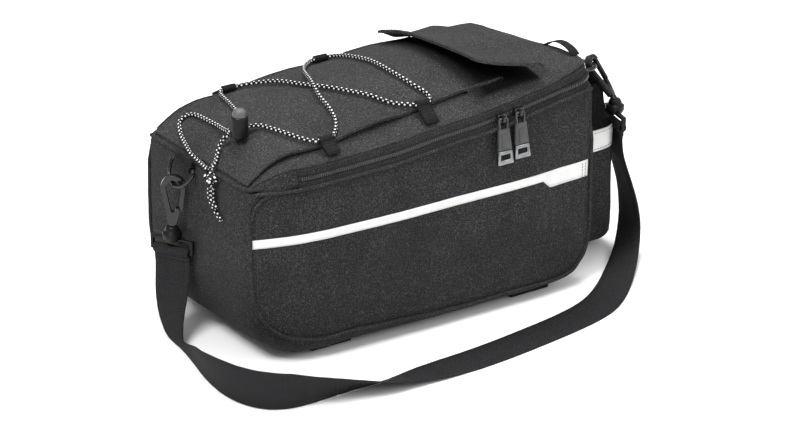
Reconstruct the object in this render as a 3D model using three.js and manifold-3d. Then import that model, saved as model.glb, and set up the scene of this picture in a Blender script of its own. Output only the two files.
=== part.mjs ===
// Bicycle rack bag: a padded wedge-shaped trunk bag with a zipped lid, elastic lacing on the
// lid, a raised access flap, a bottle pocket on its tall end and a shoulder strap laid out
// in front of it. Millimetres, +Z up. +X runs along the bag from its low end to its tall
// end, and the visible long side faces -Y. The origin is the middle of the bottom panel.
import * as THREE from 'three';
import { mergeVertices } from 'three/addons/utils/BufferGeometryUtils.js';
import Module from 'manifold-3d';

const wasm = await Module();
wasm.setup();

// Driving dimensions
const BAG_LENGTH = 380;        // between the two end seams
const MAIN_WIDTH = 211;        // over the long sides, at the middle
const LOW_END_WIDTH = 177;     // over the long sides, at the low end seam
const TALL_END_WIDTH = 195;    // over the long sides, at the tall end seam
const LOW_TAPER = 105;         // stretch over which the sides draw in at the low end
const TALL_TAPER = 80;         // the same at the tall end
const LOW_HEIGHT = 169;        // bottom panel to side piping at the low end
const TALL_HEIGHT = 198;       // the same at the tall end
const PIPING_SAG = 8;          // dip of the piping below a straight line
const LOW_CORNER = 54;         // bottom corner of the side panel, low end
const TALL_CORNER = 32;        // the same, tall end
const SIDE_BULGE = 4;          // padding of the long sides, at mid height
const LOW_BULGE = 4;           // padding of the low end beyond its seam
const TALL_BULGE = 7;          // padding of the tall end beyond its seam
const BODY_WALL = 4;           // padded wall
const HEM_RADIUS = 8;          // rounding where a side meets the bottom, from mid length on
const LOW_HEM_RADIUS = 22;     // the same at the low end
const PIPING_RADIUS = 1.7;
const GAP = 0.3;               // clearance between touching pieces

const BAND_HEIGHT = 18;        // zip band between piping and lid seam
const BAND_TALL_HEIGHT = 13.5; // the same at the tall end
const BAND_FADE = 50;          // stretch over which it narrows
const BAND_LEAN = 5;           // the band leans in by this much
const BAND_WALL = 2.4;
const COIL_HEIGHT = 4;         // zip coil, measured up the band
const COIL_PROUD = 0.9;
const ZIP_START = 46;          // plain hinge stretch of the band at the low end
const LID_CROWN = 25;          // rise of the lid above its seam
const LID_WALL = 3;
const LID_EDGE = 1.6;          // thickness of the lid's rim
const LID_CORNER = 24;         // plan corner of the lid at the tall end

const OVERLAY_WALL = 1.8;      // panel under the lacing
const OVERLAY_END = 296;       // its length from the low end seam
const OVERLAY_LIFT = 0.9;      // between the lid and the panel
const OVERLAY_STAND = 1;       // how far its edges stand off more
const FLAP_WALL = 3;
const FLAP_HINGE = 332;        // hinge line, from the low end seam
const FLAP_LENGTH = 76;
const FLAP_HINGE_WIDTH = 186;
const FLAP_TIP_WIDTH = 158;
const FLAP_LIFT_NEAR = 22;     // free end above the lid, near corner
const FLAP_LIFT_FAR = 4;       // the same at the far corner

const RACK_STRAP_WIDTH = 46;
const RACK_STRAP_WALL = 8;     // padded hook-and-loop band under the bottom
const RACK_STRAPS = [          // place along the bag from the low end seam, length across it
  { name: 'low', start: 69, length: 168 },
  { name: 'tall', start: 298, length: 182 },
];
const FLOOR = -RACK_STRAP_WALL;

const STRIPE_HEIGHT = 8.5;
const STRIPE_WALL = 0.6;
const STRIPE_Z = 124;          // top edge of the stripe at mid length
const TAB_HEIGHT = 17;
const TAB_LENGTH = 52;

const POCKET_DEPTH = 75;       // bottle pocket, out from the tall end
const POCKET_WIDTH = 98;
const POCKET_BASE = 3;
const POCKET_BAND_Z = 108;     // foot of the reflective band
const POCKET_BAND_HEIGHT = 22;
const POCKET_TOP = 168;
const POCKET_WALL = 2.5;
const POCKET_CORNER = 26;
const COLLAR_DRAW = 14;        // how far the collar draws in at its rim

const WEBBING_WIDTH = 38;      // shoulder strap
const WEBBING_WALL = 1.8;
const CORD_DIAMETER = 3;       // elastic cord

const RING_WIDTH = 36;         // D ring, over the centre of its wire
const RING_HEIGHT = 23;
const RING_WIRE = 2;           // wire radius
const TAB_WIDTH = 27;          // webbing tab that holds a D ring
const HOOK_LENGTH = 44;        // snap hook, from the ring's wire to its swivel
const HOOK_HALF = 12;          // its widest half width
const HOOK_WALL = 6;
const HOOK_EYE = 7.4;          // inner radius of the eye
const GATE_HALF = 2.1;         // half width of the snap hook's gate
const SWIVEL_RADIUS = 9.5;
const SWIVEL_HEIGHT = 15;
const BAR_FRAME_WIDTH = 46;    // frame that the strap is sewn round
const BAR_FRAME_HEIGHT = 14;
const BAR_FRAME_WALL = 4.4;
const BAR_THICKNESS = 3;

const LOCK_RADIUS = 8.5;       // cord lock
const LOCK_HEIGHT = 21;
const BUTTON_RADIUS = 6.8;
const BUTTON_RISE = 7;
const BUTTON_STEM = 6;         // length of the button inside the barrel
const BUTTON_TRAVEL = 4;
const LOCK_PLACE = [-163, -29, 201];
const KNOT_RADII = [5.5, 7.6, 7.4];
const KNOT_PLACE = [-200, -37, 170];

const LOOP_WIDTH = 14;         // webbing loops that hold the lacing
const LOOP_WALL = 1.2;
const LOOP_PLAY = 0.7;         // between the cord and the loop
const LOOP_STAND = 1.5;        // between the panel and a loop's fold
const LOOP_INSET = 2;          // from the lid's edge to the loop's foot
const LOOPS = [                // place along the bag, share of its half width at the cord
  { name: 'near_low', x: -104, side: -1, share: 0.79 }, { name: 'near_tall', x: 7, side: -1, share: 0.76 },
  { name: 'far_low', x: -108, side: 1, share: 0.755 }, { name: 'far_tall', x: -2, side: 1, share: 0.745 },
];

const SLIDERS = [{ name: 'left', x: 80 }, { name: 'right', x: 100 }];
const SLIDER_LENGTH = 10;
const SLIDER_HEIGHT = 8;
const SLIDER_WALL = 4;
const BRIDGE_WIDTH = 3.2;      // bridge that the pull hangs on
const BRIDGE_WALL = 1.3;
const BAIL_WIRE = 1.1;         // wire radius of the pull's bail
const BAIL_LENGTH = 12;
const BAIL_HALF = 4.2;
const PULL_TOP = 12.5;         // width of the pull at its head and its foot
const PULL_FOOT = 18.5;
const PULL_LENGTH = 35;
const PULL_WALL = 3;
const PULL_TILT = 6;           // degrees, because it lies on the piping
const TIP_LENGTH = 14;         // metal end of the pull
const TIP_SLOT = { width: 11, height: 5 };

const GRAB_WIDTH = 9;          // grab loop over the tall end
const GRAB_WALL = 1.6;

// Derived places along the bag
const X_LOW = -BAG_LENGTH / 2;
const X_TALL = BAG_LENGTH / 2;
const X_END = X_TALL + TALL_BULGE;
const X_ZIP = X_LOW + ZIP_START;
const LID_RUN = X_END - X_LOW - BAND_LEAN;
const COIL_SHARE = COIL_HEIGHT / BAND_HEIGHT / 2;

// Fittings, cords and strap are placed for these sizes of the body, and follow it when it changes
const PLACED_FOR = { half: 190, low: 169, tall: 198, foot: 77 };

const group = new THREE.Group();

/** Moves a place with the bag's ends and its top, and leaves what lies on the floor there. */
function follow([x, y, z]) {
  const t = THREE.MathUtils.clamp(x / PLACED_FOR.half, -1, 1);
  const rise = THREE.MathUtils.lerp(LOW_HEIGHT - PLACED_FOR.low, TALL_HEIGHT - PLACED_FOR.tall, (t + 1) / 2);
  return [x + t * (X_TALL - PLACED_FOR.half), y, z + rise * THREE.MathUtils.clamp(z / PLACED_FOR.foot, 0, 1)];
}

function paint(color, roughness, metalness = 0) {
  return new THREE.MeshStandardMaterial({ color, roughness, metalness });
}
const HEATHER = paint(0x3a3a3c, 0.92);
const LID_FABRIC = paint(0x4b4b4d, 0.92);
const BINDING = paint(0x202022, 0.8);
const WEBBING = paint(0x1b1b1d, 0.85);
const PLASTIC = paint(0x141415, 0.45);
const BUTTON = paint(0x6a6a6c, 0.5);
const METAL = paint(0x8a8c90, 0.3, 1);
const GUN_METAL = paint(0x2b2c2f, 0.35, 1);
const REFLECTIVE = paint(0xe6e6e4, 0.35);
const CORD = paint(0x19191a, 0.8);

function addMesh(name, geometry, material, parent = group) {
  const mesh = new THREE.Mesh(geometry, material);
  mesh.name = name;
  parent.add(mesh);
  return mesh;
}

// Mesh helpers

function closedGeometry(points, triangles) {
  const geometry = new THREE.BufferGeometry();
  geometry.setAttribute('position', new THREE.Float32BufferAttribute(points.flatMap((p) => p.toArray()), 3));
  let volume = 0;
  for (const [a, b, c] of triangles) {
    volume += points[a].dot(new THREE.Vector3().crossVectors(points[b], points[c]));
  }
  geometry.setIndex(triangles.flatMap(([a, b, c]) => (volume < 0 ? [a, c, b] : [a, b, c])));
  return geometry;
}

// Newell normal of a ring, and two axes across it
function ringAxes(ring) {
  const normal = new THREE.Vector3();
  ring.forEach((p, i) => {
    const q = ring[(i + 1) % ring.length];
    normal.add(new THREE.Vector3((p.y - q.y) * (p.z + q.z), (p.z - q.z) * (p.x + q.x), (p.x - q.x) * (p.y + q.y)));
  });
  normal.normalize();
  const along = Math.abs(normal.x) < 0.7 ? new THREE.Vector3(1, 0, 0) : new THREE.Vector3(0, 1, 0);
  const u = new THREE.Vector3().crossVectors(along, normal).normalize();
  return [u, new THREE.Vector3().crossVectors(normal, u)];
}

// Solid through a row of rings with the same number of points. A looped row closes on itself.
function loft(rings, looped = false) {
  const n = rings[0].length;
  const points = rings.flat();
  const triangles = [];
  const spans = looped ? rings.length : rings.length - 1;
  for (let i = 0; i < spans; i++) {
    for (let j = 0; j < n; j++) {
      const a = i * n + j;
      const b = i * n + ((j + 1) % n);
      const c = ((i + 1) % rings.length) * n + j;
      const d = ((i + 1) % rings.length) * n + ((j + 1) % n);
      triangles.push([a, c, b], [b, c, d]);
    }
  }
  if (!looped) {
    for (const [first, flip] of [[0, false], [rings.length - 1, true]]) {
      const ring = rings[first];
      const [u, v] = ringAxes(ring);
      const flat = ring.map((p) => new THREE.Vector2(p.dot(u), p.dot(v)));
      for (const [a, b, c] of THREE.ShapeUtils.triangulateShape(flat, [])) {
        const tri = [a + first * n, b + first * n, c + first * n];
        triangles.push(flip ? tri.reverse() : tri);
      }
    }
  }
  return closedGeometry(points, fixWinding(triangles, points));
}

// Turns every triangle to agree with its neighbours
function fixWinding(triangles) {
  const edges = new Map();
  triangles.forEach((tri, t) => tri.forEach((a, i) => {
    const b = tri[(i + 1) % 3];
    const key = a < b ? `${a}_${b}` : `${b}_${a}`;
    if (!edges.has(key)) edges.set(key, []);
    edges.get(key).push([t, a < b]);
  }));
  const turned = new Array(triangles.length).fill(null);
  turned[0] = false;
  const queue = [0];
  while (queue.length) {
    const t = queue.pop();
    triangles[t].forEach((a, i) => {
      const b = triangles[t][(i + 1) % 3];
      const pair = edges.get(a < b ? `${a}_${b}` : `${b}_${a}`);
      const mine = pair.find((e) => e[0] === t)[1] !== turned[t];
      for (const [other, forward] of pair) {
        if (turned[other] === null) {
          turned[other] = forward === mine;
          queue.push(other);
        }
      }
    });
  }
  return triangles.map((tri, t) => (turned[t] ? [...tri].reverse() : tri));
}

function toSolid(geometry) {
  const bare = geometry.clone();
  bare.deleteAttribute('normal');
  bare.deleteAttribute('uv');
  const merged = mergeVertices(bare, 1e-4);
  const corners = [];
  for (let i = 0; i < merged.index.count; i += 3) {
    const tri = [0, 1, 2].map((k) => merged.index.getX(i + k));
    if (new Set(tri).size === 3) corners.push(...tri);
  }
  const mesh = new wasm.Mesh({
    numProp: 3,
    vertProperties: new Float32Array(merged.attributes.position.array),
    triVerts: new Uint32Array(corners),
  });
  return new wasm.Manifold(mesh);
}

function fromSolid(solid) {
  const mesh = solid.getMesh();
  const geometry = new THREE.BufferGeometry();
  geometry.setAttribute('position', new THREE.BufferAttribute(new Float32Array(mesh.vertProperties), 3));
  geometry.setIndex(new THREE.BufferAttribute(new Uint32Array(mesh.triVerts), 1));
  return geometry;
}

const cut = (from, ...tools) => fromSolid(tools.reduce((s, t) => s.subtract(toSolid(t)), toSolid(from)));
const join = (...bodies) => fromSolid(bodies.map(toSolid).reduce((a, b) => a.add(b)));

function box(sx, sy, sz, x = 0, y = 0, z = 0) {
  return new THREE.BoxGeometry(sx, sy, sz).translate(x, y, z);
}

// Round bar along an open curve
function rod(curve, radius, steps, sides = 8) {
  const section = new THREE.Shape();
  section.absarc(0, 0, radius, 0, Math.PI * 2);
  return new THREE.ExtrudeGeometry(section, { steps, curveSegments: sides / 2, extrudePath: curve });
}

// Round wire bent into a closed flat loop in its local XZ plane
function wireLoop(corners, radius, sides = 8) {
  const centre = corners.map(([x, z]) => new THREE.Vector3(x, 0, z));
  const rings = centre.map((p, i) => {
    const before = centre[(i + centre.length - 1) % centre.length];
    const after = centre[(i + 1) % centre.length];
    const along = after.clone().sub(before).normalize();
    const out = new THREE.Vector3(along.z, 0, -along.x);
    return Array.from({ length: sides }, (_, k) => {
      const turn = (k * 2 * Math.PI) / sides;
      return p.clone().addScaledVector(out, radius * Math.cos(turn)).add(new THREE.Vector3(0, radius * Math.sin(turn), 0));
    });
  });
  return loft(rings, true);
}

// Flat outline in the XZ plane, thickened evenly along Y
function plate(shape, thickness, bevel = 0) {
  const geometry = new THREE.ExtrudeGeometry(shape, { depth: thickness - 2 * bevel, steps: 1, curveSegments: 8,
    bevelEnabled: bevel > 0, bevelThickness: bevel, bevelSize: bevel, bevelOffset: -bevel, bevelSegments: 1 });
  return geometry.translate(0, 0, -thickness / 2 + bevel).rotateX(Math.PI / 2);
}

// Form of the bag

const shareOf = (x) => (x - X_LOW) / BAG_LENGTH;

function halfWidth(x) {
  const low = Math.max(0, 1 - (x - X_LOW) / LOW_TAPER);
  const tall = Math.max(0, 1 - (X_TALL - x) / TALL_TAPER);
  return MAIN_WIDTH / 2 - ((MAIN_WIDTH - LOW_END_WIDTH) / 2) * low ** 2
    - ((MAIN_WIDTH - TALL_END_WIDTH) / 2) * tall ** 2;
}

function pipingHeight(x) {
  const t = THREE.MathUtils.clamp(shareOf(x), 0, 1);
  return LOW_HEIGHT + (TALL_HEIGHT - LOW_HEIGHT) * t - 4 * PIPING_SAG * t * (1 - t);
}

function bottomHeight(x) {
  const low = Math.max(0, X_LOW + LOW_CORNER - x);
  const tall = Math.max(0, x - (X_TALL - TALL_CORNER));
  return LOW_CORNER - Math.sqrt(LOW_CORNER ** 2 - Math.min(low, LOW_CORNER) ** 2)
    + TALL_CORNER - Math.sqrt(TALL_CORNER ** 2 - Math.min(tall, TALL_CORNER) ** 2);
}

// Padding of a long side, which fades out at both end seams
function padding(x) {
  return SIDE_BULGE * (1 - Math.min(Math.abs(2 * shareOf(x) - 1), 1) ** 4);
}

function hemRadius(x) {
  return THREE.MathUtils.mapLinear(Math.min(x, X_LOW + BAG_LENGTH * HEM_START), X_LOW, X_LOW + BAG_LENGTH * HEM_START,
    LOW_HEM_RADIUS, HEM_RADIUS);
}

// Section of the body across X: near side down, bottom, far side up. Shares run from the
// piping down to the bottom.
const SIDE_SHARES = [0, 0.14, 0.32, 0.5, 0.7, 0.88];
const HEM_ANGLES = [0, 30, 60, 90];
const HEM_START = 0.55;        // share of the length at which the low end's wider hem begins
function bodyRing(x, inset, narrowing, rise, top) {
  const half = halfWidth(THREE.MathUtils.clamp(x, X_LOW, X_TALL)) - inset - narrowing;
  const low = bottomHeight(THREE.MathUtils.clamp(x, X_LOW, X_TALL)) + inset + rise;
  const high = pipingHeight(x);
  const hem = Math.max(hemRadius(x) - inset, 1);
  const side = SIDE_SHARES.map((t) => {
    const z = t === 0 ? high + top : high + (low + hem - high) * t;
    return [half + padding(x) * Math.sin(Math.PI * t), z];
  });
  for (const angle of HEM_ANGLES) {
    const r = THREE.MathUtils.degToRad(angle);
    side.push([half - hem * (1 - Math.cos(r)), low + hem * (1 - Math.sin(r))]);
  }
  return [...side.map(([y, z]) => new THREE.Vector3(x, -y, z)),
    ...side.reverse().map(([y, z]) => new THREE.Vector3(x, y, z))];
}

function cornerStations(inset) {
  const angles = [0, 22.5, 45, 67.5].map((a) => (a * Math.PI) / 180);
  const low = angles.map((a) => X_LOW + inset + LOW_CORNER * (1 - Math.cos(a)));
  const tall = angles.map((a) => X_TALL - inset - TALL_CORNER * (1 - Math.cos(a))).reverse();
  const middle = [0.13, 0.2, 0.28, 0.4, 0.52, 0.64, 0.76, 0.84, 0.93].map((t) => X_LOW + BAG_LENGTH * t);
  return [...low, ...middle, ...tall];
}

function bodyShell() {
  const outer = [bodyRing(X_LOW - LOW_BULGE, 0, 12, 10, 0),
    ...cornerStations(0).map((x) => bodyRing(x, 0, 0, 0, 0)), bodyRing(X_END, 0, 9, 8, 0)];
  const inner = cornerStations(BODY_WALL).map((x) => bodyRing(x, BODY_WALL, 0, 0, 2 * BAND_HEIGHT));
  return cut(loft(outer), loft(inner));
}

// Zip band: its height above the piping swells from nothing at the low end seam
function bandHeight(x) {
  const t = THREE.MathUtils.clamp((x - X_LOW) / ZIP_START, 0, 1);
  const fade = THREE.MathUtils.smoothstep(x, X_TALL - BAND_FADE, X_TALL);
  const full = THREE.MathUtils.lerp(BAND_HEIGHT, BAND_TALL_HEIGHT, fade);
  return 2 * GAP + (full - 2 * GAP) * Math.sin((t * Math.PI) / 2) ** 0.8;
}
const seamHeight = (x) => pipingHeight(x) + bandHeight(x);
const bandLevel = (x, share) => pipingHeight(x) + GAP + share * (bandHeight(x) - 2 * GAP);

// Places of the lid's rows between two places along the bag, with both ends
function stations(from, until) {
  const rows = LID_ROWS.map(({ at }) => X_LOW + LID_RUN * at).filter((x) => x > from + 1 && x < until - 1);
  return [from, ...rows, until];
}

// Plan outline from the near side round the tall end to the far side, at an inset
function planPath(inset, from) {
  const corner = LID_CORNER - inset;
  const turn = X_END - LID_CORNER;
  const near = stations(from, turn).map((x) => [x, -(halfWidth(x) - inset)]);
  const half = halfWidth(turn) - LID_CORNER;
  for (const a of [22.5, 45, 67.5, 90]) {
    const r = (a * Math.PI) / 180;
    near.push([turn + corner * Math.sin(r), -(half + corner * Math.cos(r))]);
  }
  return [...near, ...near.map(([x, y]) => [x, -y]).reverse()];
}

// Wall that follows the plan outline, between two shares of the band's height
function bandWall(low, high, from, thickness, proud = 0) {
  const lines = [low, high].map((share) => {
    const inset = BAND_LEAN * share - proud;
    return [planPath(inset, from), planPath(inset + thickness, from)];
  });
  const at = ([x, y], share) => new THREE.Vector3(x, y, bandLevel(x, share));
  return loft(lines[0][0].map((_, i) => [at(lines[0][0][i], low), at(lines[0][1][i], low),
    at(lines[1][1][i], high), at(lines[1][0][i], high)]));
}

// Plain stretch of the band at the low end, on which the lid hinges
function hingePanel(side) {
  return loft(stations(X_LOW + LID_RUN * LID_ROWS[1].at, X_ZIP - GAP).map((x) => [[0, 0], [0, BAND_WALL], [1, BAND_WALL], [1, 0]]
    .map(([share, inset]) => new THREE.Vector3(x, side * (halfWidth(x) - BAND_LEAN * share - inset),
      bandLevel(x, share)))));
}

// Rows of the lid along its length: share of the crown's rise at each
const LID_ROWS = [
  { at: 0, crown: 0 }, { at: 0.02, crown: 0.1 }, { at: 0.05, crown: 0.24 }, { at: 0.08, crown: 0.36 },
  { at: ZIP_START / LID_RUN, crown: 0.48 },
  { at: 0.18, crown: 0.62 }, { at: 0.28, crown: 0.8 }, { at: 0.4, crown: 0.93 }, { at: 0.55, crown: 1 },
  { at: 0.7, crown: 0.9 }, { at: 0.82, crown: 0.7 }, { at: 0.9, crown: 0.47 }, { at: 0.955, crown: 0.27 },
  { at: 0.985, crown: 0.12 }, { at: 1, crown: 0.03 },
];
const LID_SPREAD = [0, 0.2, 0.4, 0.58, 0.74, 0.87, 0.95, 1];

function lidHalf(x) {
  const turn = X_END - LID_CORNER;
  const edge = halfWidth(Math.min(x, turn)) - BAND_LEAN;
  if (x <= turn) return edge;
  const corner = LID_CORNER - BAND_LEAN;
  const reach = Math.min(x - turn, corner);
  return edge - corner + Math.sqrt(Math.max(corner ** 2 - reach ** 2, 0));
}

function crownAt(x) {
  const t = THREE.MathUtils.clamp((x - X_LOW) / LID_RUN, 0, 1);
  const next = Math.max(1, LID_ROWS.findIndex((row) => row.at >= t));
  const [a, b] = [LID_ROWS[next - 1], LID_ROWS[next]];
  return LID_CROWN * THREE.MathUtils.lerp(a.crown, b.crown, (t - a.at) / (b.at - a.at));
}

// Height of the lid's outer face
function lidHeight(x, y) {
  const share = Math.min(Math.abs(y) / lidHalf(x), 1);
  return seamHeight(x) + LID_EDGE + crownAt(x) * (1 - share ** 2.2);
}

function lidShell() {
  const rings = LID_ROWS.map(({ at }) => {
    const x = X_LOW + LID_RUN * at;
    const half = lidHalf(x);
    const seam = seamHeight(x);
    const shares = [...LID_SPREAD.slice(1).reverse().map((s) => -s), ...LID_SPREAD];
    const outer = shares.map((s) => new THREE.Vector3(x, s * half, lidHeight(x, s * half)));
    const inner = shares.map((s) => new THREE.Vector3(x, s * (half - LID_WALL),
      seam + Math.max(lidHeight(x, s * half) - LID_WALL - seam, 0)));
    return [new THREE.Vector3(x, -half, seam), ...outer, new THREE.Vector3(x, half, seam), ...inner.reverse()];
  });
  return loft(rings);
}

// Sheet laid on the lid between two edges, given as rows of x and two y values
function laidSheet(rows, thickness, lift) {
  const across = 12;
  const rings = rows.map(({ x, near, far, raise = () => 0 }) => {
    const ys = Array.from({ length: across + 1 }, (_, i) => THREE.MathUtils.lerp(near, far, i / across));
    const low = ys.map((y, i) => new THREE.Vector3(x, y, lidHeight(x, y) + lift + raise(i / across)));
    const high = low.map((p) => p.clone().add(new THREE.Vector3(0, 0, thickness)));
    return [...low, ...high.reverse()];
  });
  return loft(rings);
}

// Panel under the lacing: its edges stand off the lid between the loops
const OVERLAY_EDGE = [
  { at: 0, half: 0.93 }, { at: 0.08, half: 0.85 }, { at: 0.16, half: 0.81 }, { at: 0.38, half: 0.79 },
  { at: 0.62, half: 0.76 }, { at: 0.88, half: 0.73 }, { at: 1, half: 0.72 },
];
function overlayHalf(x) {
  const t = THREE.MathUtils.clamp((x - X_LOW) / OVERLAY_END, 0, 1);
  const next = Math.max(1, OVERLAY_EDGE.findIndex((row) => row.at >= t));
  const [a, b] = [OVERLAY_EDGE[next - 1], OVERLAY_EDGE[next]];
  return halfWidth(x) * THREE.MathUtils.lerp(a.half, b.half, (t - a.at) / (b.at - a.at));
}
function overlayPanel() {
  const rows = stations(X_LOW + 1.5, X_LOW + OVERLAY_END).map((x) => {
    const reach = overlayHalf(x);
    return { x, near: -reach, far: reach, raise: (t) => OVERLAY_STAND * Math.abs(2 * t - 1) ** 6 };
  });
  return laidSheet(rows, OVERLAY_WALL, OVERLAY_LIFT);
}

function accessFlap() {
  const rows = [0, 0.25, 0.5, 0.75, 1].map((t) => {
    const x = X_LOW + FLAP_HINGE - FLAP_LENGTH * t;
    const half = THREE.MathUtils.lerp(FLAP_HINGE_WIDTH, FLAP_TIP_WIDTH, t ** 2) / 2;
    const lift = (s) => THREE.MathUtils.lerp(FLAP_LIFT_NEAR, FLAP_LIFT_FAR, 1 - (1 - s) ** 2.2) * t ** 1.3;
    return { x, near: -half, far: half, raise: lift };
  });
  return laidSheet(rows.reverse(), FLAP_WALL, OVERLAY_LIFT + OVERLAY_WALL + 3 * GAP);
}

// Side trims

function pipingPath(side) {
  const offset = PIPING_RADIUS + GAP;
  const count = 14;
  return Array.from({ length: count + 1 }, (_, i) => {
    const x = X_LOW + 2 + ((BAG_LENGTH - 4) * i) / count;
    return new THREE.Vector3(x, side * (halfWidth(x) + offset), pipingHeight(x));
  });
}

// Welt round the foot of a side panel: down the low end, along the bottom, up the tall end
function weltPath(side) {
  const stand = PIPING_RADIUS + GAP;
  const points = [];
  const reach = 1;
  const place = (x, z, dx) => points.push(new THREE.Vector3(x + dx * stand, side * (halfWidth(x) + stand * reach), z));
  const below = 8;
  const ends = [{ end: X_LOW, inward: 1, corner: LOW_CORNER }, { end: X_TALL, inward: -1, corner: TALL_CORNER }];
  const legs = ends.map(({ end, inward, corner }) => {
    const leg = [0, 0.25, 0.5, 0.75].map((t) => [end, THREE.MathUtils.lerp(pipingHeight(end) - below,
      corner + hemRadius(end), t), -inward * reach]);
    for (const angle of [0, 30, 60, 90]) {
      const r = THREE.MathUtils.degToRad(angle);
      const x = end + inward * corner * (1 - Math.cos(r));
      leg.push([x, corner * (1 - Math.sin(r)) + hemRadius(x), -inward * reach * Math.cos(r)]);
    }
    return leg;
  });
  const foot = [0.28, 0.4, 0.52, 0.64, 0.76, 0.84].map((t) => X_LOW + BAG_LENGTH * t).map((x) => [x, hemRadius(x), 0]);
  for (const [x, z, dx] of [...legs[0], ...foot, ...legs[1].reverse()]) place(x, z, dx);
  return points;
}

// Outer face of a long side at a height
function sideFace(x, z) {
  const t = (pipingHeight(x) - z) / (pipingHeight(x) - bottomHeight(x) - hemRadius(x));
  return halfWidth(x) + padding(x) * Math.sin(Math.PI * THREE.MathUtils.clamp(t, 0, 1));
}

function sideStripe(side) {
  const count = 14;
  const rings = [];
  for (let i = 0; i <= count; i++) {
    const x = X_LOW + 2 + ((BAG_LENGTH - 4) * i) / count;
    const top = STRIPE_Z;
    rings.push([x, top, STRIPE_HEIGHT]);
  }
  const tabStart = X_TALL - 2 - TAB_LENGTH;
  const bands = rings.map(([x, top, height]) => {
    const wide = THREE.MathUtils.smoothstep(x, tabStart - 6, tabStart + 6);
    return [x, top, height + (TAB_HEIGHT - height) * wide];
  });
  return loft(bands.map(([x, top, height]) => {
    const y = (z) => side * (sideFace(x, z) + GAP + 0.2);
    const out = side * STRIPE_WALL;
    const mid = top - height / 2;
    return [[y(top), top], [y(mid), mid], [y(top - height), top - height]]
      .map(([v, z]) => new THREE.Vector3(x, v, z))
      .concat([[y(top - height) + out, top - height], [y(mid) + out, mid], [y(top) + out, top]]
        .map(([v, z]) => new THREE.Vector3(x, v, z)));
  }));
}

// Bottle pocket on the tall end: a deep soft tub, open at the top
function pocketOutline(inset) {
  const half = POCKET_WIDTH / 2 - inset;
  const out = X_END + POCKET_DEPTH - inset;
  const corner = POCKET_CORNER - inset;
  const arc = [0, 22.5, 45, 67.5, 90].map((a) => (a * Math.PI) / 180);
  const near = arc.map((r) => [out - corner + corner * Math.sin(r), -(half - corner + corner * Math.cos(r))]);
  return [[X_END + GAP + inset, -half], ...near, ...near.map(([x, y]) => [x, -y]).reverse(),
    [X_END + GAP + inset, half]];
}
const pocketRing = (z, inset) => pocketOutline(inset).map(([x, y]) => new THREE.Vector3(x, y, z));
function pocketBody() {
  return cut(loft([pocketRing(POCKET_BASE, 5), pocketRing(POCKET_BASE + 6, 0), pocketRing(POCKET_BAND_Z, 0)]),
    loft([pocketRing(POCKET_BASE + POCKET_WALL, 5 + POCKET_WALL), pocketRing(POCKET_BASE + 8, POCKET_WALL),
      pocketRing(POCKET_BAND_Z + 1, POCKET_WALL)]));
}
function pocketBand() {
  const [low, high] = [POCKET_BAND_Z + GAP, POCKET_BAND_Z + POCKET_BAND_HEIGHT];
  return cut(loft([pocketRing(low, 0), pocketRing(high, 0)]),
    loft([pocketRing(low - 1, POCKET_WALL), pocketRing(high + 1, POCKET_WALL)]));
}

// Elastic collar above the band: it draws in at once and then more towards its rim
function pocketCollar() {
  const foot = POCKET_BAND_Z + POCKET_BAND_HEIGHT + GAP;
  const rows = [[foot, 0.1], [foot + 3, 0.46], [POCKET_TOP, 1]].map(([z, share]) => [z, share * COLLAR_DRAW]);
  const inner = rows.map(([z, inset], i) => pocketRing(z + (i === 2 ? 1 : 0) - (i === 0 ? 1 : 0), inset + POCKET_WALL));
  return cut(loft(rows.map(([z, inset]) => pocketRing(z, inset))), loft(inner));
}

// Places a group so that its local -Z runs along down and its X along across
function orient(part, origin, down, across) {
  const z = new THREE.Vector3(...down).normalize().negate();
  const x = new THREE.Vector3(...across).addScaledVector(z, -new THREE.Vector3(...across).dot(z)).normalize();
  const y = new THREE.Vector3().crossVectors(z, x);
  part.quaternion.setFromRotationMatrix(new THREE.Matrix4().makeBasis(x, y, z));
  part.position.set(...origin);
  part.updateMatrix();
  return part;
}

// Webbing folded round a bar at the local origin, with its tail up along +Z
function foldedWebbing(width, hole, wall, tail) {
  const outer = hole + wall;
  const shape = new THREE.Shape();
  const half = wall + 0.1;
  const join = Math.sqrt(outer ** 2 - half ** 2);
  const start = Math.atan2(join, half);
  shape.moveTo(half, tail);
  shape.lineTo(half, join);
  shape.absarc(0, 0, outer, start, -Math.PI - start, true);
  shape.lineTo(-half, tail);
  shape.closePath();
  const opening = new THREE.Path();
  opening.absarc(0, 0, hole, 0, Math.PI * 2);
  shape.holes.push(opening);
  return plate(shape, width).rotateZ(Math.PI / 2);
}

function dRing() {
  const w = RING_WIDTH / 2;
  const h = RING_HEIGHT;
  const corners = [[-w + 3, 0], [w - 3, 0], [w - 0.8, -0.8], [w, -4], [w * 0.93, -h * 0.45], [w * 0.66, -h * 0.8],
    [w * 0.25, -h * 0.98], [-w * 0.25, -h * 0.98], [-w * 0.66, -h * 0.8], [-w * 0.93, -h * 0.45], [-w, -4],
    [-w + 0.8, -0.8]];
  return wireLoop(corners, RING_WIRE, 6);
}

// Snap hook in its local XZ plane: the ring's wire lies at the origin, the swivel below
const EYE_CENTRE = RING_WIRE + GAP - HOOK_EYE;
const HOOK_FOOT = -HOOK_LENGTH;
const GATE_PIVOT = new THREE.Vector2(HOOK_HALF * 0.66, HOOK_FOOT * 0.6);
const GATE_TIP = new THREE.Vector2(HOOK_HALF * 0.8, EYE_CENTRE + 1);

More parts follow.
